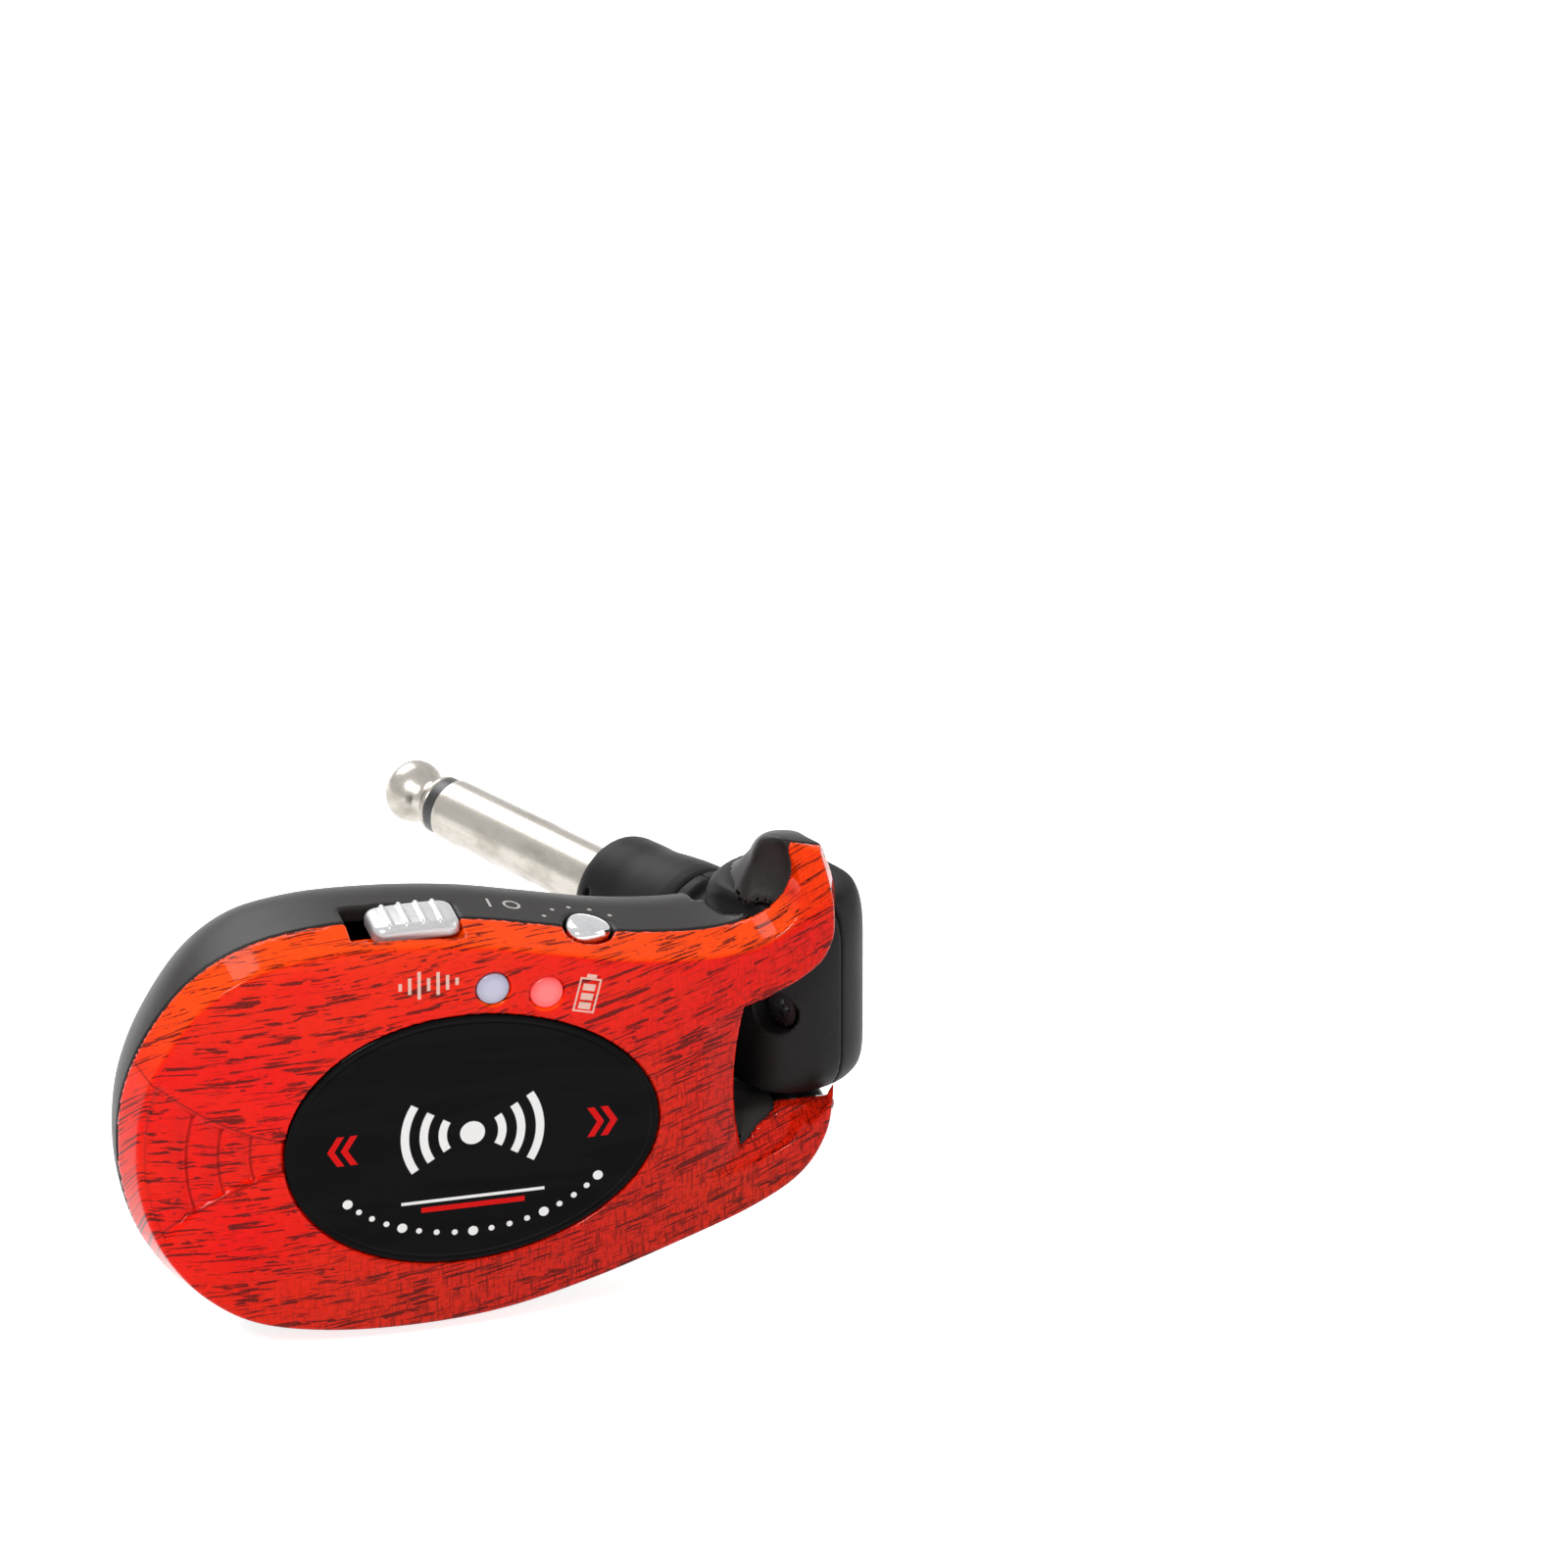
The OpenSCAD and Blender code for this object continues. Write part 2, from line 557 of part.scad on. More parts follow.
module sleeve_terminal() arm() color("gold") rotate([-90, 0, 0])
    translate([0, 0, plug_start - nut_l - 0.5]) difference() {
        union() {
            cylinder(r = nut_r - 0.3, h = 0.5);
            translate([-0.7, plug_r - sleeve_wall + 0.3, -5]) cube([1.4, 0.4, 5.5]);
        }
        translate([0, 0, -1]) cylinder(r = plug_r - sleeve_wall + 0.1, h = 3);
    }

front_shell();
back_shell();
hook_cover();
badge_plate();
audio_light_lens();
battery_light_lens();
light_chips();
circuit_board();
shield_can();
antenna();
audio_chip();
battery_cell();
battery_pad();
battery_connector();
charging_socket();
power_switch();
power_slider();
channel_switch();
channel_button();
case_screws();
hinge_pins();
friction_washers();
block_left();
block_right();
block_screw();
block_nut();
plug_collar();
plug_sleeve();
plug_insulator();
plug_tip();
sleeve_nut();
tip_terminal();
sleeve_terminal();
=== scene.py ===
import json
import math

import bpy
import numpy as np
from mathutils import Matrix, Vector


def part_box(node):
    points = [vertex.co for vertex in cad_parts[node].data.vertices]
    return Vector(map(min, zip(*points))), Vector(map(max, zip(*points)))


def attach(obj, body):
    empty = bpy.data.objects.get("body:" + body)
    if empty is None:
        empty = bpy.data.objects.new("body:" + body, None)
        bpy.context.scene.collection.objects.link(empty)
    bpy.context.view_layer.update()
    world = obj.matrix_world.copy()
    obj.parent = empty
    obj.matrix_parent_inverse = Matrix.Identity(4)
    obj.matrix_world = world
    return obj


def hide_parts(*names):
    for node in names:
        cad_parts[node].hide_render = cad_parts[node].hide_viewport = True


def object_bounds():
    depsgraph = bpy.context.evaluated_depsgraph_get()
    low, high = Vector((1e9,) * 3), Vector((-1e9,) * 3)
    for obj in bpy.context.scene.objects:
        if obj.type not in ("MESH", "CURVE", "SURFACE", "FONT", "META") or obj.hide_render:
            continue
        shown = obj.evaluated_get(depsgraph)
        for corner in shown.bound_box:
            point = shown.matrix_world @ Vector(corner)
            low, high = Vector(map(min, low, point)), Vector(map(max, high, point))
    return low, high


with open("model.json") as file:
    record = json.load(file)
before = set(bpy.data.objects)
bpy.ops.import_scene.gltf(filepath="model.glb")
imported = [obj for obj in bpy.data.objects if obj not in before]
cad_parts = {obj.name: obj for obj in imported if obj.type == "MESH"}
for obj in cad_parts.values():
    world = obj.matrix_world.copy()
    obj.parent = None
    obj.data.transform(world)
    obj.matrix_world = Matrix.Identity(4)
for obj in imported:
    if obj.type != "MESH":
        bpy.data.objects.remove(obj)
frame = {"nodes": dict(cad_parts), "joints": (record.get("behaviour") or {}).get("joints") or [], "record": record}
cad_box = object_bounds()

# ---- the camera -----------------------------------------------------------------------------
# A long lens looks down on the front face from the upper left. It aims at a point above and to
# the right of the badge, so that the plug's tip and the fork have the same margin.
badge_low, badge_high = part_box("badge_plate")
BADGE_OFFSET = 0.9
origin = Vector(((badge_low.x + badge_high.x) / 2 - BADGE_OFFSET / 1000, badge_low.y,
                 (badge_low.z + badge_high.z) / 2))
AZIMUTH, ELEVATION, DISTANCE = math.radians(-14.5), math.radians(26.6), 2.4
AIM_RIGHT, AIM_UP = 0.0313, 0.0347
SENSOR_WIDTH, LENS = 36, 564
to_camera = Vector((math.sin(AZIMUTH) * math.cos(ELEVATION),
                    -math.cos(AZIMUTH) * math.cos(ELEVATION), math.sin(ELEVATION)))
to_right = Vector((0, 0, 1)).cross(to_camera).normalized()
aim = origin + to_right * AIM_RIGHT + to_camera.cross(to_right) * AIM_UP
camera = bpy.data.objects.new("camera", bpy.data.cameras.new("camera"))
bpy.context.scene.collection.objects.link(camera)
camera.data.sensor_width, camera.data.lens = SENSOR_WIDTH, LENS
camera.data.clip_start, camera.data.clip_end = 0.01, 10
camera.location = aim + to_camera * DISTANCE
camera.rotation_mode = "QUATERNION"
camera.rotation_quaternion = to_camera.to_track_quat("Z", "Y")
bpy.context.scene.camera = camera
bpy.context.scene.view_settings.view_transform = "Standard"


# ---- studio ---------------------------------------------------------------------------------
# A pale floor just under the lowest edge and a white surround, both at full white only for the
# camera and in reflections, and three soft lights.

class Wire:
    """A shader socket of one finish. An expression on it adds the Math nodes that work it out."""

    def __init__(self, finish, socket):
        self.finish, self.socket = finish, socket

    def math(self, operation, *values):
        """A Math node on wires and numbers."""
        return self.finish.node("ShaderNodeMath", {"operation": operation}, dict(enumerate(values)))

    def __add__(self, other):
        return self.math("ADD", self, other)

    def __sub__(self, other):
        return self.math("SUBTRACT", self, other)

    def __rsub__(self, other):
        return self.math("SUBTRACT", other, self)

    def __mul__(self, other):
        return self.math("MULTIPLY", self, other)

    __radd__, __rmul__ = __add__, __mul__

    def size(self):
        return self.math("ABSOLUTE", self)

    def least(self, other):
        return self.math("MINIMUM", self, other)

    def most(self, other):
        return self.math("MAXIMUM", self, other)

    def root(self):
        return self.math("SQRT", self)

    def rise(self, low, high):
        """0 up to low, 1 from high on, and smooth between."""
        return self.finish.node("ShaderNodeMapRange", {"interpolation_type": "SMOOTHSTEP"},
                                {"Value": self, "From Min": low, "From Max": high})


class Finish:
    """A material with one Principled shader. spot is the place on the object, in millimetres
    from the badge's centre: x to the fork, y into the housing and z to the slider's edge."""

    def __init__(self, name, **constants):
        self.material = bpy.data.materials.new(name)
        self.material.use_nodes = True
        self.tree = self.material.node_tree
        self.shader = self.tree.nodes["Principled BSDF"]
        for socket, value in constants.items():
            self.shader.inputs[socket.replace("_", " ")].default_value = value
        place = self.node("ShaderNodeTexCoord", out="Object")
        self.spot = self.node("ShaderNodeVectorMath", {"operation": "MULTIPLY_ADD"},
                              {0: place, 1: (1000,) * 3, 2: tuple(-1000 * origin)})
        self.x, self.y, self.z = (self.node("ShaderNodeSeparateXYZ", {}, {0: self.spot}, out=a)
                                  for a in "XYZ")

    def node(self, kind, settings=None, sockets=None, out=0):
        """Any node, from its type, its settings, and the values or wires of its sockets."""
        made = self.tree.nodes.new(kind)
        for name, value in (settings or {}).items():
            setattr(made, name, value)
        for name, value in (sockets or {}).items():
            if isinstance(value, Wire):
                self.tree.links.new(value.socket, made.inputs[name])
            else:
                made.inputs[name].default_value = value
        return Wire(self, made.outputs[out])

    def noise(self, stretch, detail=3.0, roughness=0.5, distortion=0.0, shift=(0, 0, 0),
              spot=None):
        """Soft noise, with stretch[i] ripples to the millimetre along each axis."""
        place = self.node("ShaderNodeVectorMath", {"operation": "MULTIPLY_ADD"},
                          {0: spot or self.spot, 1: stretch, 2: shift})
        return self.node("ShaderNodeTexNoise", {}, {
            "Vector": place, "Scale": 1.0, "Detail": detail, "Roughness": roughness,
            "Distortion": distortion})

    def mix(self, share, first, second):
        """The colour first where share is 0 and second where it is 1."""
        colours = [(*c, 1) if isinstance(c, tuple) else c for c in (first, second)]
        return self.node("ShaderNodeMix", {"data_type": "RGBA"},
                         {0: share, 6: colours[0], 7: colours[1]}, out=2)

    def at(self, x, y, z):
        """A place from three wires or numbers."""
        return self.node("ShaderNodeCombineXYZ", {}, {0: x, 1: y, 2: z})

    def facing(self, axis):
        """How squarely the surface faces along X, Y or Z: 1 to -1."""
        normal = self.node("ShaderNodeTexCoord", out="Normal")
        return self.node("ShaderNodeSeparateXYZ", {}, {0: normal}, out=axis)

    def feed(self, **sockets):
        """Leads wires to the shader's sockets."""
        for name, value in sockets.items():
            self.tree.links.new(value.socket, self.shader.inputs[name.replace("_", " ")])

    def bump(self, height, distance):
        """Raises the surface by distance, in metres, where height goes from 0 to 1."""
        self.feed(Normal=self.node("ShaderNodeBump", {}, {"Height": height, "Distance": distance,
                                                          "Strength": 1.0}))


def lamp(name, place, size, power, target=(0, 0, 0)):
    """A square soft light that faces the target; place and target are in metres from the badge."""
    light = bpy.data.objects.new(name, bpy.data.lights.new(name, "AREA"))
    light.data.size, light.data.energy = size, power
    light.location = origin + Vector(place)
    light.rotation_mode = "QUATERNION"
    light.rotation_quaternion = (Vector(place) - Vector(target)).to_track_quat("Z", "Y")
    bpy.context.scene.collection.objects.link(light)


lamp("key_light", (-0.35, -0.45, 0.60), 0.22, 4.6)
lamp("back_light", (-0.15, 0.6, 0.55), 0.5, 4.2)
lamp("side_light", (0.8, -0.15, 0.25), 0.5, 1.6)

FLOOR_REACH, FLOOR_GAP = 4.0, 0.0003
floor_z = cad_box[0].z - FLOOR_GAP
floor = bpy.data.objects.new("floor", bpy.data.meshes.new("floor"))
floor.data.from_pydata([(x * FLOOR_REACH, y * FLOOR_REACH, floor_z)
                        for x, y in ((-1, -1), (1, -1), (1, 1), (-1, 1))], [], [(0, 1, 2, 3)])
bpy.context.scene.collection.objects.link(floor)
pale = Finish("floor_paint", Base_Color=(0.86, 0.86, 0.86, 1), Roughness=0.9)
pale.shader.inputs["Specular IOR Level"].default_value = 0.0
SEEN_BY = ("Is Camera Ray", "Is Glossy Ray", "Is Transmission Ray")
camera_ray, glossy_ray, clear_ray = (pale.node("ShaderNodeLightPath", out=out) for out in SEEN_BY)
pale.shader.inputs["Emission Strength"].default_value = 0.8
shown = camera_ray.most(glossy_ray).most(clear_ray)
pale.feed(Emission_Color=pale.mix(shown, (0.0,) * 3, (1.0,) * 3))
floor.data.materials.append(pale.material)

world = bpy.data.worlds.new("surround")
bpy.context.scene.world = world
world.use_nodes = True
sky = world.node_tree
background = sky.nodes["Background"]
seen = sky.nodes.new("ShaderNodeLightPath")
strength = sky.nodes.new("ShaderNodeMapRange")
strength.inputs["To Min"].default_value = 0.38
strength.inputs["To Max"].default_value = 1.0
share = seen.outputs[SEEN_BY[0]]
for out in SEEN_BY[1:]:
    most = sky.nodes.new("ShaderNodeMath")
    most.operation = "MAXIMUM"
    sky.links.new(share, most.inputs[0])
    sky.links.new(seen.outputs[out], most.inputs[1])
    share = most.outputs[0]
sky.links.new(share, strength.inputs["Value"])
sky.links.new(strength.outputs[0], background.inputs["Strength"])
background.inputs["Color"].default_value = (1, 1, 1, 1)


# ---- lacquered front shell ------------------------------------------------------------------
# A moulded plastic plate with a wide polished bevel. It is printed with red wood grain under
# clear lacquer, and snaps to the back shell at the parting line.

# Both shells follow one closed line at the parting plane: a round end, a waist, a hooked upper
# prong and a short lower prong. The line is a Catmull-Rom curve through these knots.
KNOTS = np.array([
    [-33.8, 1.5], [-33.1, -4], [-31, -9.5], [-27, -14.8], [-21.5, -18.6], [-14, -20.5],
    [-5, -21.05], [4, -20.4], [13, -18.3], [22, -15.3], [29.5, -12.4], [34.5, -9.4],
    [37.3, -5.6], [38.4, -1], [38.6, 8], [38.6, 17], [38.55, 20.3], [38.3, 21.9], [37.8, 23.6],
    [37.2, 25.2], [36.6, 27.5], [35, 29], [33.2, 28.5], [33.3, 26.6], [33.8, 25.1], [34.0, 23.2],
    [33.8, 22], [33.1, 20.65], [31.7, 19.35], [29.4, 18.35], [26.3, 17.9], [22, 18], [16, 18.8],
    [9, 20.4], [2, 21.9], [-6, 22.8], [-14, 22.9], [-21, 21.6], [-26.5, 18.5], [-30.8, 13.2],
    [-33.2, 7.5]])


def smooth_line(knots, steps=12, closed=True):
    """Catmull-Rom points: between two knots, a cubic whose slopes come from their neighbours."""
    t = np.arange(steps)[None, :, None] / steps
    a, b, c, d = (np.roll(knots, shift, axis=0)[:, None, :] for shift in (1, 0, -1, -2))
    line = 0.5 * (2 * b + (c - a) * t + (2 * a - 5 * b + 4 * c - d) * t ** 2
                  + (3 * b - a - 3 * c + d) * t ** 3)
    return line.reshape(-1, 2)


class Reach:
    """Signed distance to a closed line in x and z, negative inside, kept on a fine lattice."""

    def __init__(self, line, low, high, pitch=0.2):
        self.low, self.pitch = np.array(low, float), pitch
        count = (np.ceil((np.array(high) - self.low) / pitch).astype(int) + 1)
        spots = self.low + pitch * np.stack(np.meshgrid(*map(np.arange, count), indexing="ij"), -1)
        spots = spots.reshape(-1, 2)
        start, run = line, np.roll(line, -1, axis=0) - line
        best, inside = np.full(len(spots), 1e9), np.zeros(len(spots), bool)
        for (px, pz), (vx, vz) in zip(start, run):
            away = spots - (px, pz)
            share = np.clip((away[:, 0] * vx + away[:, 1] * vz) / (vx * vx + vz * vz), 0, 1)
            best = np.minimum(best, (away[:, 0] - share * vx) ** 2 + (away[:, 1] - share * vz) ** 2)
            if vz:
                span = (away[:, 1] >= 0) != (away[:, 1] >= vz)
                inside ^= span & (away[:, 0] < away[:, 1] * vx / vz)
        self.table = (np.sqrt(best) * np.where(inside, -1, 1)).reshape(count)

    def __call__(self, x, z):
        u = np.clip((x - self.low[0]) / self.pitch, 0, self.table.shape[0] - 1.001)
        v = np.clip((z - self.low[1]) / self.pitch, 0, self.table.shape[1] - 1.001)
        i, j = u.astype(int), v.astype(int)
        s, t = u - i, v - j
        g = self.table
        return ((1 - s) * ((1 - t) * g[i, j] + t * g[i, j + 1])
                + s * ((1 - t) * g[i + 1, j] + t * g[i + 1, j + 1]))


outline = smooth_line(KNOTS)
rim = Reach(outline, (-37, -25), (42, 32))
top_half = outline[np.argsort(outline[:, 0])]
top_half = top_half[(top_half[:, 1] > 5) & (top_half[:, 0] < 28)]


def top_edge(x):
    """Height of the outline's upper edge."""
    return np.interp(x, top_half[:, 0], top_half[:, 1])


# Two forms meet in a rounded edge: blend is about how wide the rounding is.
def both(a, b, blend=0.0):
    """Inside both forms: the larger field, raised smoothly where the two are close."""
    blend = np.maximum(blend, 1e-6)
    near = np.maximum(blend - np.abs(a - b), 0) / blend
    return np.maximum(a, b) + near * near * blend / 4


def either(a, b, blend=0.0):
    """Inside one form or the other: the smaller field."""
    return -both(-a, -b, blend)


def without(a, b, blend=0.0):
    """Inside the first form and outside the second."""
    return both(a, -b, blend)


def slab_box(x, y, z, low, high, corner=0.0):
    """Distance to a box between two corners, its edges rounded to the radius corner."""
    mid, half = (np.array(low) + high) / 2, (np.array(high) - low) / 2 - corner
    q = [np.abs(a - m) - h for a, m, h in zip((x, y, z), mid, half)]
    out = np.sqrt(sum(np.maximum(a, 0) ** 2 for a in q))
    return out + np.minimum(np.maximum(np.maximum(q[0], q[1]), q[2]), 0) - corner


def cast(field, low, high, pitch):
    """A closed skin where the field is 0. Each cell of a lattice that the skin passes gets one
    point, the mean of its edges' crossings; four cells round a crossed edge make a face. The
    points are then evened out and moved along the field's slope until the field is 0."""
    axes = [np.arange(a, b + pitch, pitch) for a, b in zip(low, high)]
    shape = tuple(len(a) for a in axes)
    value = field(*(g.ravel() for g in np.meshgrid(*axes, indexing="ij"))).reshape(shape)
    inside = value < 0
    sums, hits, quads = np.zeros((3, value.size)), np.zeros(value.size), []
    jumps = np.array([shape[1] * shape[2], shape[2], 1])
    for axis in range(3):
        first = tuple(slice(0, -1) if k == axis else slice(1, -1) for k in range(3))
        second = tuple(slice(1, None) if k == axis else slice(1, -1) for k in range(3))
        cross = np.argwhere(inside[first] != inside[second])
        cross += [0 if k == axis else 1 for k in range(3)]
        ident = cross @ jumps
        v0, v1 = value.ravel()[ident], value.ravel()[ident + jumps[axis]]
        place = cross.astype(float)
        place[:, axis] += v0 / (v0 - v1)
        j, k = (jumps[a] for a in range(3) if a != axis)
        around = np.stack([ident - j - k, ident - k, ident, ident - j], 1)
        for cell in around.T:
            hits += np.bincount(cell, minlength=value.size)
            for c in range(3):
                sums[c] += np.bincount(cell, place[:, c], value.size)
        turn = (v0 < 0) ^ (axis == 1)
        quads.append(np.where(turn[:, None], around, around[:, ::-1]))
    used = np.flatnonzero(hits)
    number = np.full(value.size, -1)
    number[used] = np.arange(len(used))
    faces = number[np.concatenate(quads)]
    points = (sums[:, used] / hits[used]).T * pitch + np.array(low)
    pairs = np.stack([faces, np.roll(faces, -1, 1)], -1).reshape(-1, 2)
    degree = np.bincount(pairs.ravel(), minlength=len(points))[:, None]
    for turn in range(4):
        if turn < 2:
            mean = np.stack([np.bincount(pairs[:, 0], points[pairs[:, 1], c], len(points))
                             + np.bincount(pairs[:, 1], points[pairs[:, 0], c], len(points))
                             for c in range(3)], 1) / degree
            points += 0.5 * (mean - points)
        here = field(*points.T)
        small = 0.02
        slope = np.stack([(field(*(points + small * np.eye(3)[c]).T) - here) / small
                          for c in range(3)], 1)
        step = slope * (here / np.maximum((slope ** 2).sum(1), 0.05))[:, None]
        length = np.linalg.norm(step, axis=1, keepdims=True)
        points -= step * np.minimum(1, 0.6 * pitch / np.maximum(length, 1e-9))
    return points, faces


def piece(name, points, faces, finish, slot, body, *nodes):
    """A mesh from points in millimetres from the badge's centre, smooth shaded, that rides on a
    body, takes the finish it is given, and stands for CAD nodes. The slot is not used."""
    mesh = bpy.data.meshes.new(name)
    faces = faces if isinstance(faces, list) else faces.tolist()
    mesh.from_pydata((np.asarray(points) / 1000 + np.array(origin)).tolist(), [], faces)
    mesh.validate()
    mesh.shade_smooth()
    mesh.materials.append(finish.material)
    made = bpy.data.objects.new(name, mesh)
    bpy.context.scene.collection.objects.link(made)
    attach(made, body)
    if nodes:
        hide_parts(*nodes)
    return made


# The hinge axis stands between the prongs. The swivel block turns in a round pocket between
# them, and the folded plug lies in a trough along the back.
hinge_joint = next(j for j in frame["joints"] if j["name"] == "plug_fold")
HINGE = np.array((Vector(hinge_joint["pos_m"]) - origin) * 1000)
FRONT_DEPTH, DEPTH, WALL = 4.2, 19.0, 1.6
FORK_HALF = 11.0
FORK_LOW = HINGE[2] - FORK_HALF
SWING = 9.15
HOOK_TOP, HOOK_SLOPE = 26.4, 0.25
FOLD = math.radians(7)
COLLAR_ROOM, COLLAR_ROOM_END, PLUG_ROOM, PLUG_ROOM_END = 7.0, 25.3, 3.675, 59.0
BLOCK_HALF, BLOCK_REACH = 10.65, 8.65
SHOULDER_IN, SHOULDER_DOWN = 3.4, 6.0

# The window between the prongs at the front face, from its lower left round to its upper left
MOUTH = np.array([
    [24.1, -5.4], [24.3, -6.6], [25.0, -7.3], [26.2, -7.4], [28.3, -6.8], [31, -5.9],
    [33.7, -4.3], [36.2, -2.0], [37.6, 0.2], [40, 4], [48, 6], [48, 19], [40, 20], [38.6, 19.3],
    [37.7, 17.9], [37.1, 16.4], [36.0, 14.6], [33.6, 12.9], [30.9, 11.6], [28.7, 10.9],
    [26.9, 10.4], [25.6, 9.7], [24.6, 8.6], [24.1, 7.2], [24, 0]])
mouth = Reach(smooth_line(MOUTH, 6), (20, -14), (46, 26))
MOUTH_LOW = MOUTH[3:10]


def floor_rise(x, y):
    """How far the window's floor has risen from the front face to the depth y."""
    low = np.interp(x, MOUTH_LOW[:, 0], MOUTH_LOW[:, 1])
    share = np.clip(y / 4.6, 0, 1)
    return np.maximum(FORK_LOW - low, 0) * share * share * (3 - 2 * share), low


def window(x, y, z):
    """The opening between the prongs. Its floor rises from the front face to the lower prong's
    inner face, and its left side is a slanted lip with a bowed edge."""
    lift = floor_rise(x, y)[0] * np.clip((4 - z) / 6, 0, 1)
    lip = 27.6 + 0.017 * (z - 1.5) ** 2
    left = either(lip - x, (24.3 + 2.8 * y - x) * 0.336, 0.3)
    return both(mouth(x, z - lift), left, 0.4)


def shoulder(radius, height, grow=0.0):
    """Inside the block's round shoulder: an ellipse over distance from the hinge and height."""
    flat_in, flat_down = BLOCK_REACH - SHOULDER_IN, BLOCK_HALF - SHOULDER_DOWN
    u = np.maximum(radius - flat_in, 0) / (SHOULDER_IN + grow)
    v = np.maximum(np.abs(height) - flat_down, 0) / (SHOULDER_DOWN + grow)
    return (np.hypot(u, v) - 1) * SHOULDER_IN


def pocket(x, y, z):
    """Room for the block to turn, and the open space behind the hinge."""
    height = np.maximum(z - HINGE[2], 0)
    turn = shoulder(np.hypot(x - HINGE[0], y - HINGE[1]), height, 0.35)
    behind = both(both(HINGE[1] - y, HINGE[0] - SWING - x, 0.6),
                  np.abs(z - HINGE[2]) - FORK_HALF, 0.5)
    return either(both(turn, np.abs(z - HINGE[2]) - FORK_HALF), behind, 0.6)


def trough(x, y, z):
    """Room for the folded arm: a round-bottomed slot for the collar and a narrower one for the
    plug, both open to the back."""
    along = -(x - HINGE[0]) * math.cos(FOLD) + (y - HINGE[1]) * math.sin(FOLD)
    deep = np.minimum((x - HINGE[0]) * math.sin(FOLD) + (y - HINGE[1]) * math.cos(FOLD), 0)
    across = np.hypot(deep, z - HINGE[2])
    collar_room = both(across - COLLAR_ROOM, along - COLLAR_ROOM_END, 1.0)
    plug_room = both(across - PLUG_ROOM, along - PLUG_ROOM_END, 1.2)
    return either(collar_room, plug_room, 0.8)


def tongue(x, y, z):
    """A black tongue of the back shell, let into the window's red floor."""
    plan = both(both(np.abs(x - 30) - 2.45, 2.3 - y + 0.5 * (x - 29.4), 0.6), y - 7)
    lift, low = floor_rise(x, y)
    return both(plan, np.abs(z - low - lift + 0.35) - 0.6)


# Depth at which the red skin stops; the back shell's room for it goes deeper
LINER_END = 4.75


def liner(x, y, z):
    """The red shell's thin skin over the lower prong's inner face, right of the tongue."""
    slab = both(32.5 - x, np.abs(y - 6.5) - 3.5)
    return both(slab, both(np.abs(z - FORK_LOW + 0.5) - 0.5, rim(x, z)))


def hook_cut(x, z):
    """The slanting flat end of the hook's red strip."""
    return (z - HOOK_TOP + HOOK_SLOPE * (x - 33.3)) / math.hypot(1, HOOK_SLOPE)


BEVEL = 1.15
SLIDER_AT = (-4.0, 4.4, float(top_edge(-4.0)))
BUTTON_X = 13.7
BUTTON_AT = (BUTTON_X, 4.6, float(top_edge(BUTTON_X)))
BUTTON_TILT = -math.atan((top_edge(BUTTON_X + 1) - top_edge(BUTTON_X - 1)) / 2)
LENSES = {"audio_light_lens": (3.1, 16.0), "battery_light_lens": (8.5, 14.9)}
LENS_HOLE = 1.7
SCREWS = [(-15.5, float(top_edge(-15.5)) - 5.8), (-27.8, -3.0), (19, -11.3), (6, -16.1)]
FAN_TOP = np.polyfit([-31.7, -28.5, -24.9, -21.3, -17.7], [11.8, 7.2, 4.6, 2.8, 1.9], 3)
FAN_LOW = np.polyfit([-30.1, -27.3, -24.4, -21.3, -18.0], [-7.6, -5.0, -3.1, -2.1, -1.5], 3)


def badge_line(length, width, count=120):
    """An egg: the widest place lies a little left of the middle."""
    t = np.linspace(0, 2 * math.pi, count, endpoint=False)
    return np.stack([BADGE_OFFSET + length / 2 * np.cos(t),
                     width / 2 * np.sin(t) * (1 - 0.06 * np.cos(t))], 1)


badge_rim = Reach(badge_line(38.0, 27.1), (-22, -17), (24, 17))


def in_button(x, y, z):
    """The button's own frame: along the edge, into the housing, and out of the edge."""
    c, s = math.cos(BUTTON_TILT), math.sin(BUTTON_TILT)
    x, z = x - BUTTON_AT[0], z - BUTTON_AT[2]
    return x * c - z * s, y - BUTTON_AT[1], x * s + z * c


def drop(u, v, radius):
    """Distance to the button's outline: a large and a small circle, smoothly joined."""
    large, small = np.hypot(u - 0.2, v - 0.2) - radius, np.hypot(u + 1.1, v + 1.0) - radius * 0.5
    return either(large, small, 1.4)


def openings(x, y, z):
    """The slider's recess, the slot under it, and the button's hole."""
    sx, sy, sz = SLIDER_AT
    recess = slab_box(x, y, z, (sx - 6.7, sy - 3, sz - 1.6), (sx + 4.7, sy + 3, sz + 9), 0.5)
    slot = slab_box(x, y, z, (sx - 3.2, sy - 1.1, sz - 6), (sx + 1.8, sy + 1.1, sz + 3), 0.3)
    u, v, up = in_button(x, y, z)
    return either(either(recess, slot), both(drop(u, v, 2.5), -8 - up))


def fan(x, z):
    """Depth of the grip: a sunken fan between two curves, with three curved steps in it."""
    inside = np.minimum(np.polyval(FAN_TOP, x) - z, z - np.polyval(FAN_LOW, x))
    edge = np.clip(inside / 0.35 + 0.5, 0, 1) * np.clip((-1.9 - rim(x, z)) / 0.3 + 0.5, 0, 1)
    away = np.hypot(x + 10, z - 0.8)
    steps = sum(np.clip((away - a) / 0.25, 0, 1) * np.clip((b - away) / 1.5, 0, 1)
                for a, b in ((11.2, 12.9), (14.4, 16.2), (17.6, 19.6)))
    return edge * (0.42 + 0.45 * steps) * (x < -17.4)


